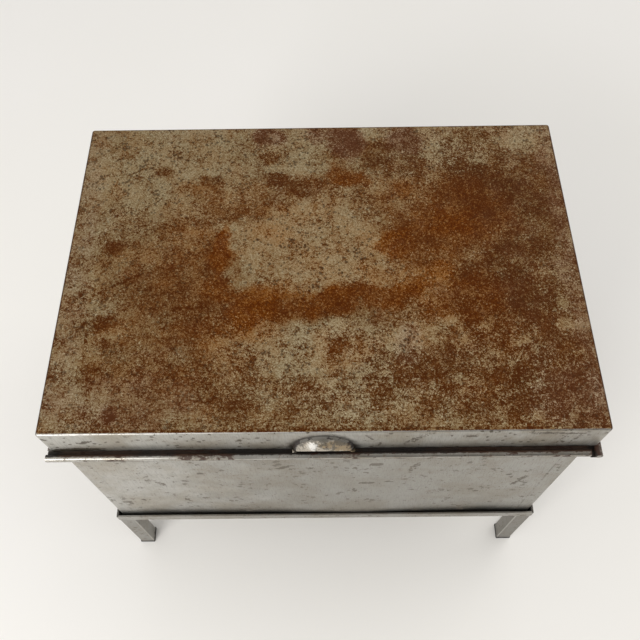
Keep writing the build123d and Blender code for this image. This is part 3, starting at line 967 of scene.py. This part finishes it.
class Steel(Paint):
    """Bare steel: clouds of tone, a brushed grain along one axis, rust specks, smudges of dirt, and a painted
    sheen that lightens the left end.
    """

    def __init__(self, name, grain, turn, spots, dirt, tone, rough, cloud_size=70, left_sheen_share=0.8):
        super().__init__(name)
        where = self.noise(48, 3, 0.6, shift=(3, 7, 0))
        # Painted sheen: the steel is lightened towards the left end
        left_sheen = 1 - self.smooth(self.x + (where - 0.5) * 260, -300, -40)
        self.colour = self.mix(steel_tone(self, cloud_size), STEEL_DARK, tone * (1 - left_sheen * left_sheen_share))
        brushed = self.noise(1.0, 3, 0.6, grain, turn)
        self.stain(STEEL_DARK, self.smooth(brushed, 0.45, 0.72) * 0.45)
        small = self.noise(3.4, 2, 0.6, shift=(1, 8, 2))
        pits = self.pits(14, (9, 2, 5)) + (small - 0.5) * 1.0 - (where - 0.5) * 1.3 - spots
        specks = 1 - self.smooth(pits, 0.09, 0.15)
        self.stain(SPECK, specks * 0.65)
        placed = self.smooth(self.attribute("marks") + (small - 0.5) * 1.6, 0.42, 0.60)
        self.stain(SPECK, placed * 0.80)
        rust_spots = self.smooth(small + spots, 0.66, 0.70)
        self.stain(RUST_BROWN, rust_spots * 0.6)
        self.smudge = self.smooth(self.noise(19, 5, 0.65, shift=(2, 0, 8)), 0.56, 0.74) * dirt
        self.stain(SMUDGE, self.smudge * 0.6)
        speck = self.largest(placed, rust_spots, specks)
        self.height = brushed * 0.4 + (1 - speck) * 0.5
        self.rough = rough + (where - 0.5) * 0.22 + speck * 0.25
        self.metal = 0.85 * (1 - speck)

    def stain(self, colour, share):
        """Lays a colour over the steel wherever share is above 0."""
        self.colour = self.mix(self.colour, colour, share)

    def close(self, dull=0.0, depth=0.08):
        """Joins the recipe to the shader. Where dull is 1 the steel is hidden by rough dirt, rust or painted
        shade.
        """
        return self.finish(
            height=self.height,
            depth=depth,
            Base_Color=self.colour,
            Roughness=self.rough + dull * 0.3,
            Metallic=self.metal * (1 - dull),
        )


# %% Walls and legs
# Half the body's length and depth, to the walls' outer faces
BODY_HALF = (340.5, 240.65)
SEAM_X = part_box("body_front")[1][0] / MM
LEG_MIDDLE = [abs(sum(ends)) / 2 / MM for ends in zip(*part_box("leg_front_left"))]


def paint_wall():
    """Scrubbed sheet, with old dirt packed in the upright seams where the end sheets lap."""
    paint = Steel("scrubbed_sheet", UPWARDS, turn=(3, 2, 0), spots=0.01, dirt=0.6, tone=0.45, rough=0.40)
    ragged = paint.noise(12, 4, 0.65, shift=(2, 5, 2))
    seam = 1 - paint.smooth(abs(abs(paint.x) - SEAM_X + (ragged - 0.5) * 2.5), 0.3, 1.8)
    seam = seam * paint.smooth(abs(paint.y) - BODY_HALF[1], -2.65, -1.15) * paint.smooth(ragged, 0.40, 0.55)
    paint.stain(SPECK, seam * (0.2 + 0.8 * paint.smooth(paint.x, -150, 150)) * 0.55)
    return paint.close()


def paint_leg():
    """Ground square tube, with a painted highlight along its upright edges."""
    paint = Steel(
        "ground_tube", UPWARDS, turn=(2, 0, 0), spots=0.02, dirt=0.7, tone=0.78, rough=0.42, left_sheen_share=0.25
    )
    across, deep = abs(abs(paint.x) - LEG_MIDDLE[0]), abs(abs(paint.y) - LEG_MIDDLE[1])
    # Painted highlight along the tube's upright edges
    ridge_highlight = paint.smooth(paint.maths("MINIMUM", across, deep), 10.4, 11.6)
    paint.stain(PAINTED_HIGHLIGHT, ridge_highlight * (1 - paint.smudge) * 0.40)
    return paint.close()


# %% Rails of the stand
STAND_HALF = [abs(side) / MM for side in (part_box("rail_left")[0][0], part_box("rail_front")[0][1])]
RAIL_TOP = 187.0
ANGLE_THICKNESS = 3.0


def paint_rail(name, grain):
    """Ground angle: bright outside; black with dirt and painted shade on the faces that hold the trunk, and
    darkened along the side rails' top edges.
    """
    paint = Steel(name, grain, turn=(0, 0, 2), spots=0.03, dirt=0.9, tone=0.42, rough=0.42, left_sheen_share=0.3)
    from_side, from_front = STAND_HALF[0] - abs(paint.x), STAND_HALF[1] - abs(paint.y)
    depth = paint.maths("MINIMUM", from_side, from_front)
    # Painted shade and dirt on the faces inside the angle that hold the trunk
    behind = paint.smooth(depth, ANGLE_THICKNESS - 0.6, ANGLE_THICKNESS)
    # The side rails' top edges are darkened
    side_top = 1 - paint.smooth(from_side, ANGLE_THICKNESS - 0.1, ANGLE_THICKNESS + 0.1)
    side_top = side_top * paint.smooth(paint.z, RAIL_TOP - 0.6, RAIL_TOP - 0.2)
    # One mask carries the painted shade, the dirt and the darkened side tops
    dirt = paint.largest(behind * 0.92, side_top * 0.75)
    paint.stain(GRIME_AND_SHADE, dirt)
    return paint.close(dull=dirt)


# %% Sizes of a rim's bead, and its finish
LID_GAP = 0.35
BEAD_RADIUS = 4.8
BEAD_OUT = 10.2
BEAD_Z = SKIRT_BOTTOM - LID_GAP - BEAD_RADIUS
LEDGE_DROP = 2.6
LEDGE_TOP = BEAD_Z - LEDGE_DROP


def paint_rim():
    """Rolled strip: bright along the bead's outer half, with rust, dirt and painted shade in the gutter
    behind it, and a painted shadow below the bead's front.
    """
    paint = Steel("rolled_rim", LENGTHWAYS, turn=(0, 0, 0), spots=0.03, dirt=1.0, tone=0.20, rough=0.30)
    out = paint.attribute("out")
    ragged = paint.noise(7, 5, 0.65, shift=(4, 4, 1))
    past_side, past_front = abs(paint.x) - BODY_HALF[0], abs(paint.y) - BODY_HALF[1]
    corner = paint.smooth(paint.maths("MINIMUM", past_side, past_front), -6, 3)
    # Rust, dirt and painted shade in the gutter between the skirt and the bead
    gutter = 1 - paint.smooth(out + (ragged - 0.5) * 5, BEAD_OUT - 0.8, BEAD_OUT + 0.8)
    gutter = gutter * paint.smooth(paint.z, LEDGE_TOP - 1.35, LEDGE_TOP - 0.55)
    brown = paint.smooth(paint.noise(70, 3, 0.6, shift=(0, 3, 3)) + abs(paint.x) * 0.0006, 0.50, 0.72)
    paint.stain(paint.mix(GRIME_AND_SHADE, RUST_BROWN, brown * (1 - corner) * 0.5), gutter * 0.97)

    crown = paint.noise(5, 3, 0.6, (2.6, 1, 1), shift=(6, 4, 1)) + (paint.noise(70, 2, 0.5) - 0.5) * 0.7
    # Painted shadow along the front underside of the bead
    under = 1 - paint.smooth(paint.z + (ragged - 0.5) * 3.5, BEAD_Z - 0.75, BEAD_Z + 0.85)
    under = under * paint.smooth(out, BEAD_OUT + 0.8, BEAD_OUT + 2.3)
    side_end = paint.smooth(past_side, 7, 9) * (1 - paint.smooth(paint.y + BODY_HALF[1], 4.65, 14.65))
    front_face = paint.smooth(paint.y + BODY_HALF[1], -0.35, 0.45)
    side_end = side_end * (0.6 * paint.smooth(paint.x, -1, 1) + front_face)
    # The crown's rust, the painted shadow below the bead and the dark side ends share one mask
    crown_rust_and_shadow = paint.largest(paint.smooth(crown, 0.61, 0.66), under, side_end)
    paint.stain(paint.mix(RUST_DARK, GRIME_AND_SHADE, under), crown_rust_and_shadow * 0.88)
    return paint.close(dull=paint.largest(gutter, crown_rust_and_shadow * 0.85), depth=0.14)


# %% [markdown]
# ## Finishes of the pull and the feet
#
# The pull's plate is tarnished and pitted, darker round its root, with a painted shadow line where it meets
# the lid, and a painted highlight left of the middle. The scrubbed steel's recipe has none of this, so the
# pull has a recipe of its own, in which places are measured from the middle of the hood. The foot caps are
# the only plastic.

# %% Finish of the finger pull
def paint_pull():
    """Worn plate: tarnished tan, pitted and darker round its root, with a painted shadow line at the root and
    a painted highlight left of the middle.
    """
    paint = Paint("polished_pull")
    clouds = paint.noise(13, 4, 0.6, shift=(3, 1, 4))
    ragged = paint.noise(4, 4, 0.65) - 0.5
    rise = paint.z - (SKIRT_BOTTOM + PULL_CENTRE_RISE)
    from_middle = paint.reach(paint.x, rise)
    above_feet = paint.smooth(rise, -4.4, -3.4)
    tarnish = paint.smooth(clouds + paint.x * 0.006, 0.44, 0.58)
    # Darker round the root
    root = paint.smooth(from_middle + ragged * 16, 31.0, 38.0) * above_feet
    # Painted shadow: a black line where the hood meets the lid
    root_shadow_line = paint.smooth(from_middle + ragged * 3, 34.6, 36.2) * above_feet
    worn = paint.smooth(paint.noise(8, 3, 0.65, shift=(7, 2, 3)) + rise * 0.006, 0.60, 0.68)
    # Painted highlight: a white glint left of the middle
    from_glint = paint.reach((paint.x + 14) * 0.15, (rise - 22) * 0.13)
    polished_glint = 0.8 * (1 - paint.smooth(from_glint + ragged * 1.8, 0.4, 1.2))
    pits = paint.smooth(paint.noise(2.4, 3, 0.6, shift=(1, 6, 2)) + (clouds - 0.5) * 0.6, 0.62, 0.68)
    colour = paint.mix(NICKEL, TARNISH, 0.25 + tarnish * 0.65)
    stains = [
        (GRIME_AND_SHADE, root * 0.80),
        (GRIME_AND_SHADE, root_shadow_line),
        (STEEL_DARK, worn * 0.8),
        (PAINTED_GLINT, polished_glint),
        (RUST_DARK, pits * 0.85),
    ]
    for stain, share in stains:
        colour = paint.mix(colour, stain, share)
    rub = scratches(paint, 0.5, 22, (70, 95, 112)) * 0.3
    dull = paint.largest(root * 0.7, root_shadow_line, pits)
    return paint.finish(
        height=1 - pits * 0.6 - rub * 0.4 + ragged * 0.4,
        depth=0.10,
        Base_Color=colour,
        Metallic=1 - dull,
        Roughness=0.19 + tarnish * 0.17 + dull * 0.35 + rub * 0.2 - polished_glint * 0.07,
    )


# %% Finish of the foot caps
def paint_plastic():
    """Black moulded plastic: a fine pebbled skin, a little paler where it has scuffed."""
    paint = Paint("foot_cap_plastic")
    pebble = paint.noise(0.5, 3, 0.6)
    scuff = paint.smooth(paint.noise(7, 5, 0.7), 0.55, 0.75)
    colour = paint.mix(linear(28, 28, 29), linear(74, 72, 70), scuff * 0.6)
    return paint.finish(height=pebble, depth=0.05, Base_Color=colour, Roughness=0.48 + scuff * 0.2)


# %% [markdown]
# ## Which piece gets which finish
#
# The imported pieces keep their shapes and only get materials. Writing one line for each of the thirty-six
# would hide that they are a few families, so a piece takes the material that the start of its name stands
# for. The hinge straps, rivets and drop handles start with none of these, and get the fittings' steel.

# %% Give every carried-over piece its material
materials = {
    "body": paint_wall(),
    "leg": paint_leg(),
    "wire": Steel("rim_wire", LENGTHWAYS, turn=(0, 0, 0), spots=0.03, dirt=0.6, tone=0.35, rough=0.4).close(),
    "rail": paint_rail("ground_angle", LENGTHWAYS),
    "side_rail": paint_rail("ground_angle_side", SIDEWAYS),
    "fitting": Steel(
        "aged_fitting", (1, 1, 6), turn=(0, 0, 0), spots=0.05, dirt=1.0, tone=0.3, rough=0.42, cloud_size=24
    ).close(),
    "rim": paint_rim(),
    "pull": paint_pull(),
    "plastic": paint_plastic(),
}
KINDS = {
    "body_": "body",
    "bottom_pan": "body",
    "rim_wire": "wire",
    "rim_": "rim",
    "rail_left": "side_rail",
    "rail_right": "side_rail",
    "rail_": "rail",
    "leg_": "leg",
    "foot_cap": "plastic",
    "pull": "pull",
}
for name, node in nodes.items():
    kind = next((KINDS[start] for start in KINDS if name.startswith(start)), "fitting")
    node.data.materials.clear()
    node.data.materials.append(materials[kind])
print("carried-over pieces painted:", len(nodes))

# %% [markdown]
# ## The front and back walls
#
# The front and back of the body are flat sheets, hemmed along the top. Thin sheet of that size always
# bellies a little, and here the front comes close to the stand's rail near its middle and stands clear of
# it at both ends. The closed section of the sheet is carried along the wall, and each of its points is
# moved in or out by a soft bulge and some slow noise. Both fade to nothing at the seams, so the sheet still
# meets its neighbours.

# %% Section of a wall
SHEET_PITCH = 4.0
HEM_HEIGHT = 12.0
HEM_HALF_RUN = 285.0
SLOW_BULGE = 0.7
SIDE_FADE = 40
TOP_FADE = 50


def sheet_section(low, high, inner, outer):
    """A closed strip from z low to z high, with many points up each face. Columns: distance out, height."""
    heights = np.linspace(low, high, int((high - low) / SHEET_PITCH) + 2)
    up = np.stack([np.full_like(heights, outer), heights], -1)
    return np.concatenate([up, up[::-1] * [0, 1] + [inner, 0]])


def wall_bulge(along, height, half_run, top, bulges, seed):
    """Soft ellipses that belly out or in, plus slow noise, fading to nothing at both seams and the top."""
    total = SLOW_BULGE * cloud(along, height, 160, seed, 3)
    for middle, rise, half_length, half_height, depth in bulges:
        far = ((along - middle) / half_length) ** 2 + ((height - rise) / half_height) ** 2
        total += depth * np.exp(-far)
    to_seam = np.clip((half_run - np.abs(along)) / SIDE_FADE, 0, 1)
    return total * to_seam * np.clip((top - height) / TOP_FADE, 0, 1)


# %% Make both walls
# Each bulge: place along the wall, height, half length, half height, depth outwards
FRONT_BULGES = [
    (40, 175, 110, 90, 2.6),
    (300, 190, 90, 80, -1.4),
    (-260, 200, 120, 90, -1.2),
    (-60, 360, 150, 80, 0.8),
]
BACK_BULGES = [(-60, 260, 160, 100, 1.2), (180, 330, 110, 80, -0.8)]
MARKED_DEPTH = 4.1
for node, toward, bulges in (("body_front", -1, FRONT_BULGES), ("body_back", 1, BACK_BULGES)):
    low, high = (np.array(corner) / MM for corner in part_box(node))
    half_run, wall_face = high[0], max(abs(low[1]), abs(high[1]))
    sheet = sheet_section(low[2], high[2], wall_face - SHEET, wall_face)
    hem = sheet_section(high[2] - HEM_HEIGHT, high[2], wall_face - 2 * SHEET, wall_face - SHEET)
    wall_points, wall_faces = [], []
    for section, reach in ((sheet, half_run), (hem, HEM_HALF_RUN)):
        stations = np.linspace(-reach, reach, int(2 * reach / SHEET_PITCH))[:, None]
        along = np.broadcast_to(stations, (len(stations), len(section)))
        height = np.broadcast_to(section[:, 1], along.shape)
        out = section[:, 0] + wall_bulge(along, height, half_run, high[2], bulges, 31 + toward)
        wall_faces += tube_faces(len(stations), len(section), sum(map(len, wall_points)))
        wall_points.append(np.stack([-toward * along, toward * out, height], -1).reshape(-1, 3))
    spots = np.concatenate(wall_points)
    skin = make_piece(f"{node}_sheet", spots, wall_faces, "trunk", materials["body"], [node])
    if node == "body_front":
        marks = stain_sum(spots[:, 0], spots[:, 2], FRONT_MARKS, 3) * (spots[:, 1] < MARKED_DEPTH - wall_face)
        set_field(skin, "marks", np.clip(marks, 0, 1))

# %% [markdown]
# ## The finger pull
#
# The pull is a small pressed hood: a cap cut from a sphere, with its lower edge rolled into a rounded lip,
# and a little out-turned foot at each end. A sphere cut by Booleans would give the cap but no lip. Here
# each point of the hood lies on the sphere, between the circle where it meets the lid and the curve where
# the lip's plane cuts the sphere. The lip is half a circle, and the hood's inside is the same surface one
# thickness further in.

# %% Sizes of the pull
PULL_PROJECTION = 13.0
PULL_FOOT_RISE = 2.4
PULL_WALL = 1.4
LIP_RISE_AT_FACE = -9.5
LIP_SLOPE = 2.96
LIP_STRAIGHT = 31.0
LIP_STRETCH = 0.92
LIP_REACH = 0.992 * PULL_HALF_WIDTH
PULL_STATIONS = 73
HOOD_POINTS = 15
LIP_POINTS = 7
pull_face = lid_low[1]
sphere_radius = (PULL_HALF_WIDTH**2 + PULL_PROJECTION**2) / (2 * PULL_PROJECTION)
sphere_centre = np.array([0, pull_face + sphere_radius - PULL_PROJECTION, SKIRT_BOTTOM + PULL_CENTRE_RISE])
print("sphere of the pull, radius in mm:", round(sphere_radius, 1))


def lip_curve(x):
    """The lip's plane cuts the sphere where a quadratic says, drawn out a little sideways.

    Past the last straight stretch each end turns back to the lid in a quarter of an ellipse.
    """
    set_back = sphere_radius - PULL_PROJECTION
    drop = LIP_RISE_AT_FACE - PULL_CENTRE_RISE
    straight_x = np.clip(x, -LIP_STRAIGHT, LIP_STRAIGHT)
    past_end = np.clip(np.abs(x) - LIP_STRAIGHT, 0, None) / (PULL_HALF_WIDTH - LIP_STRAIGHT)
    a = 1 + LIP_SLOPE**2
    b = 2 * (set_back + LIP_SLOPE * drop)
    c = set_back**2 + drop**2 + (LIP_STRETCH * straight_x) ** 2 - sphere_radius**2
    proud = (-b + np.sqrt(b * b - 4 * a * c)) / (2 * a)
    rise = LIP_RISE_AT_FACE + LIP_SLOPE * proud
    shrink = np.sqrt(1 - past_end**2)
    rise = PULL_FOOT_RISE + (rise - PULL_FOOT_RISE) * shrink
    return np.stack([x, pull_face - proud * shrink, SKIRT_BOTTOM + rise], -1)


def unit(vectors):
    return vectors / np.linalg.norm(vectors, axis=-1, keepdims=True)


# %% Work out the pull's hood
across = np.linspace(0, 1, PULL_STATIONS)[:, None]
foot_angle = math.asin((PULL_CENTRE_RISE - PULL_FOOT_RISE) / PULL_HALF_WIDTH)
turned = -foot_angle + across * (math.pi + 2 * foot_angle)
root_x, root_rise = PULL_HALF_WIDTH * np.cos(turned), PULL_HALF_WIDTH * np.sin(turned)
root_curve = np.concatenate([root_x, np.full_like(turned, pull_face), sphere_centre[2] + root_rise], -1)
front_curve = lip_curve(LIP_REACH * np.cos(math.pi * across[:, 0]))
chord = np.linalg.norm(front_curve - root_curve, axis=-1)[:, None, None]
down_hood = np.linspace(0, 1, HOOD_POINTS)[None, :, None]
between = root_curve[:, None] * (1 - down_hood) + front_curve[:, None] * down_hood
outwards = unit(between - sphere_centre)
hood = between + outwards * chord**2 / (2 * sphere_radius) * down_hood * (1 - down_hood)
lining = hood - PULL_WALL * outwards
onwards = unit(hood[:, -1] - hood[:, -2])[:, None]
lip_turn = np.linspace(0, math.pi, LIP_POINTS + 2)[None, 1:-1, None]
lip_out = outwards[:, -1][:, None]
lip = hood[:, -1][:, None] + PULL_WALL / 2 * (np.sin(lip_turn) * onwards - (1 - np.cos(lip_turn)) * lip_out)
pull_profile = np.concatenate([hood, lip, lining[:, ::-1]], 1)
print("pull stands proud, mm:", round(float(pull_face - pull_profile[..., 1].min()), 2))

# %% Add the two feet and make the pull
PAD_RINGS = 9
PAD_AROUND = 24
FOOT_HALF_SIZES = (3.0, 2.6, 0.9)
FOOT_OUT = 37.0
FOOT_DROP = 0.7


def squared_up(value):
    return np.sign(value) * np.abs(value) ** 0.6


def pad(middle, half_sizes):
    """A cushion-shaped pad: a sphere whose sines and cosines are raised to a power that squares it up."""
    lengthwise = np.linspace(0, 2 * math.pi, PAD_AROUND + 1)[:-1][None, :]
    upright = np.linspace(-math.pi / 2, math.pi / 2, PAD_RINGS + 2)[1:-1][:, None]
    shape = np.stack(
        [
            squared_up(np.cos(upright)) * squared_up(np.cos(lengthwise)),
            squared_up(np.cos(upright)) * squared_up(np.sin(lengthwise)),
            squared_up(np.sin(upright)) * np.ones_like(lengthwise),
        ],
        -1,
    )
    return (np.array(middle) + shape * half_sizes).reshape(-1, 3)


pull_points = [pull_profile.reshape(-1, 3)]
pull_faces = tube_faces(*pull_profile.shape[:2], closed=False)
for side in (-1, 1):
    foot_rise = SKIRT_BOTTOM + PULL_FOOT_RISE - FOOT_DROP
    foot_middle = (side * FOOT_OUT, pull_face - FOOT_HALF_SIZES[1], foot_rise)
    pull_faces += tube_faces(PAD_RINGS, PAD_AROUND, sum(map(len, pull_points)))
    pull_points.append(pad(foot_middle, FOOT_HALF_SIZES))
make_piece(
    "pull_hood", np.concatenate(pull_points), pull_faces, "lid", materials["pull"], ["pull"]
)

# %% [markdown]
# ## The rolled rims
#
# Each side of the body carries a strip whose edge is rolled over a wire. The lid rests on it. A straight
# sweep looks machine-made, but this roll was closed by hand and has been knocked since, so its height and
# reach drift along the run. The section is one open sheet: out along the ledge, round the wire, and back to
# a narrow slit.

# %% Section of a rim
BEAD_BORE = 3.25
STRIP = 1.5
SLIT = 0.6
FLANGE_HEIGHT = 15.0
WALL_GAP = 0.05
HAIR = 0.02
FLANGE_OUT = STRIP - HAIR
NOTCH_OUT = BEAD_OUT - BEAD_RADIUS - 0.5
LEDGE_UNDER = LEDGE_TOP - STRIP


def arc_points(radius, from_z, to_z, count):
    """A circle round the bead's middle, counter-clockwise from its left side at from_z round to to_z."""
    start = -math.pi - math.asin((from_z - BEAD_Z) / radius)
    end = math.pi - math.asin((to_z - BEAD_Z) / radius)
    angles = np.linspace(start, end, count)
    return np.stack([BEAD_OUT + radius * np.cos(angles), BEAD_Z + radius * np.sin(angles)], -1)


def plate_section(out, low, high):
    """A rectangle from the wall out to the given distance, between two heights."""
    return np.array([(WALL_GAP, low), (out, low), (out, high), (WALL_GAP, high)])


roll_outside = arc_points(BEAD_RADIUS, LEDGE_UNDER, LEDGE_TOP + SLIT, 26)
roll_inside = arc_points(BEAD_BORE, LEDGE_TOP, LEDGE_TOP + SLIT, 18)[::-1]
rolled_section = np.concatenate(
    [[(WALL_GAP, LEDGE_UNDER)], roll_outside, roll_inside, [(WALL_GAP, LEDGE_TOP)]]
)
flange_section = plate_section(FLANGE_OUT, LEDGE_TOP - FLANGE_HEIGHT, LEDGE_UNDER + HAIR)
ledge_section = plate_section(NOTCH_OUT, LEDGE_UNDER, LEDGE_TOP)
print("points round the rolled section:", len(rolled_section))

# %% Carry a section along a side
RUN_PITCH = 6.0
DRIFT_IN = 0.30
DRIFT_DOWN = 0.28


def run_section(section, start, end, wall_at, seed):
    """A section carried along x from start to end, its bead drifting in and down by a little noise."""
    stations = np.linspace(start, end, max(2, int((end - start) / RUN_PITCH)))[:, None]
    on_bead = np.clip((section[:, 0] - 4) / 8, 0, 1)[None, :]
    out = section[None, :, 0] - DRIFT_IN * (0.5 + 0.5 * cloud(stations, 0 * stations, 46, seed, 3)) * on_bead
    drift_down = DRIFT_DOWN * (0.5 + 0.5 * cloud(stations, 0 * stations + 9, 60, seed, 3)) * on_bead
    height = section[None, :, 1] - drift_down
    return np.stack([np.broadcast_to(stations, out.shape), -wall_at - out, height], -1), out


# %% Make the four rims
RIM_REACH = BEAD_OUT + BEAD_RADIUS
STRAP_EDGES = [(-255.5, -204.5), (204.5, 255.5)]
front_lap, side_lap = -BODY_HALF[0] - RIM_REACH, -BODY_HALF[1] - RIM_REACH
# Each rim: how far out its wall is, half the wall's run, the bead's start and end, turn in degrees, notches
rim_runs = {
    "rim_front": (BODY_HALF[1], BODY_HALF[0], front_lap, BODY_HALF[0] - WALL_GAP, 0, []),
    "rim_right": (BODY_HALF[0], BODY_HALF[1], side_lap, BODY_HALF[1] - WALL_GAP, 90, []),
    "rim_back": (BODY_HALF[1], BODY_HALF[0], front_lap, -front_lap, 180, STRAP_EDGES),
    "rim_left": (BODY_HALF[0], BODY_HALF[1], -BODY_HALF[1] + WALL_GAP, BODY_HALF[1] - WALL_GAP, -90, []),
}
for seed, (rim, (wall_at, half_run, start, end, turn, notches)) in enumerate(rim_runs.items(), 20):
    cuts = [start, *(cut for notch in notches for cut in notch), end]
    jobs = [(rolled_section, cuts[n], cuts[n + 1]) for n in range(0, len(cuts), 2)]
    jobs += [(ledge_section, low, high) for low, high in notches]
    jobs += [(flange_section, -half_run + WALL_GAP, half_run - WALL_GAP)]
    rim_points, rim_outs, rim_faces = [], [], []
    for section, low, high in jobs:
        points, out = run_section(section, low, high, wall_at, seed)
        rim_faces += tube_faces(*out.shape, sum(map(len, rim_points)))
        rim_points.append(points.reshape(-1, 3))
        rim_outs.append(out.ravel())
    cosine, sine = math.cos(math.radians(turn)), math.sin(math.radians(turn))
    turning = np.array([[cosine, -sine, 0], [sine, cosine, 0], [0, 0, 1]])
    turned_points = np.concatenate(rim_points) @ turning.T
    strip = make_piece(
        f"{rim}_strip", turned_points, rim_faces, "trunk", materials["rim"], [rim]
    )
    set_field(strip, "out", np.concatenate(rim_outs))

# %% [markdown]
# ## The feet
#
# Each leg stands in a black plastic cap, whose collar shows as a dark line round the foot of the tube. A
# bevelled box would give the outside, but not the pocket that the tube sits in. A profile carried round a
# square with round corners gives both as one closed surface.

# %% Make the foot caps
COLLAR = 0.7
COLLAR_TOP = 4.2
POCKET_GAP = 0.05
POCKET_FLOOR = 2.45


def rounded_square(half, radius, z):
    """A ring at height z: a quarter circle of the given radius at each corner, counter-clockwise."""
    turns = math.pi / 2 * (np.arange(4)[:, None] + np.linspace(0, 1, 6)[None, :])
    corner_turns = math.pi / 2 * (np.arange(4)[:, None] + 0.5)
    reach = (half - radius) * math.sqrt(2)
    x = reach * np.cos(corner_turns) + radius * np.cos(turns)
    y = reach * np.sin(corner_turns) + radius * np.sin(turns)
    return np.stack([x.ravel(), y.ravel(), np.full(x.size, z)], -1)


for name in [name for name in nodes if name.startswith("foot_cap")]:
    low, high = (np.array(corner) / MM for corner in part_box(name))
    tube_half = (high[0] - low[0]) / 2
    outer_half = tube_half + COLLAR
    pocket_half = tube_half + POCKET_GAP
    # Each ring: half its side, the radius of its corners, its height
    rings = [
        (outer_half - 0.7, 1.0, 0.0),
        (outer_half - 0.2, 1.3, 0.2),
        (outer_half, 1.5, 0.7),
        (outer_half, 1.5, COLLAR_TOP - 0.5),
        (outer_half - 0.3, 1.3, COLLAR_TOP),
        (pocket_half, 0.3, COLLAR_TOP),
        (pocket_half, 0.3, POCKET_FLOOR),
    ]
    cap = np.array([rounded_square(*ring) for ring in rings])
    cap_points = cap.reshape(-1, 3) + [*((low + high) / 2)[:2], low[2]]
    cap_faces = tube_faces(*cap.shape[:2])
    make_piece(
        f"{name}_cup", cap_points, cap_faces, "stand", materials["plastic"], [name], crease=60
    )

# %% [markdown]
# ## Floor, lamps and world
#
# The trunk stood on a pale painted floor in a bright room. The floor is a large plane whose colour makes it
# pale. Two broad area lamps stand in for the windows, and the world for the rest of the room. The steel
# mirrors a pale room whose walls have darker parts and whose front is dark, because bare steel looks flat
# with nothing to reflect.

# %% Make the floor
FLOOR_HALF = 9.0
floor_mesh = bpy.data.meshes.new("floor")
floor_corners = [(x * FLOOR_HALF, y * FLOOR_HALF, 0.0) for x, y in ((-1, -1), (1, -1), (1, 1), (-1, 1))]
floor_mesh.from_pydata(floor_corners, [], [(0, 1, 2, 3)])
floor = bpy.data.objects.new("floor", floor_mesh)
bpy.context.scene.collection.objects.link(floor)
floor_paint = Paint("painted_floor")
drift = floor_paint.smooth(floor_paint.noise(900, 3, 0.5), 0.3, 0.7)
floor_tone = floor_paint.mix(linear(244, 241, 237), linear(242, 239, 234), drift)
floor_mesh.materials.append(floor_paint.finish(Base_Color=floor_tone, Roughness=0.55))

# %% Make the lamps
TRUNK_MIDDLE = Vector((0.0, 0.0, 0.35))


def area_lamp(name, place, size, power, colour):
    """A square lamp that faces the middle of the trunk."""
    lamp = bpy.data.lights.new(name, "AREA")
    lamp.size = size
    lamp.energy = power
    lamp.color = colour
    holder = bpy.data.objects.new(name, lamp)
    bpy.context.scene.collection.objects.link(holder)
    aim = Vector(place) - TRUNK_MIDDLE
    holder.matrix_world = Matrix.Translation(place) @ aim.to_track_quat("Z", "Y").to_matrix().to_4x4()


area_lamp("window_left", (-1.7, -2.3, 2.0), 1.6, 52, (1.0, 0.997, 0.99))
area_lamp("window_right", (2.2, 1.2, 2.6), 2.0, 12, (1.0, 0.985, 0.96))

# %% Make the world
ROOM_LIGHT = linear(226, 226, 225)
ROOM_PALE = linear(242, 240, 236)
ROOM_DARK = linear(78, 73, 68)
BACKDROP = linear(241, 238, 233)
world = bpy.data.worlds.new("room")
bpy.context.scene.world = world
world.use_nodes = True
room = Recipe(world.node_tree, "Generated", 1.0)
seen = room.add("ShaderNodeLightPath", {}, {}, "Is Camera Ray")
mirrored = room.add("ShaderNodeLightPath", {}, {}, "Is Glossy Ray")
darker_parts = room.smooth(room.noise(0.36, 3, 0.55, shift=(0.3, 0.1, 0)), 0.45, 0.53)
towards_front = room.z * 0.45 - room.y * 0.85 + room.x * 0.25
dark_front = room.smooth(towards_front + (darker_parts - 0.5) * 0.15, 0.60, 0.86)
reflected = room.mix(room.mix(ROOM_PALE, ROOM_DARK, darker_parts * 0.7), ROOM_DARK, dark_front)
shown = room.mix(room.mix(ROOM_LIGHT, reflected, mirrored), BACKDROP, seen)
room.join(world.node_tree.nodes["Background"].inputs["Color"], shown)

# %% [markdown]
# ## The end

# A visual model must not be larger than the solids that it dresses.

# %% Set the view transform
bpy.context.scene.view_settings.view_transform = "Standard"
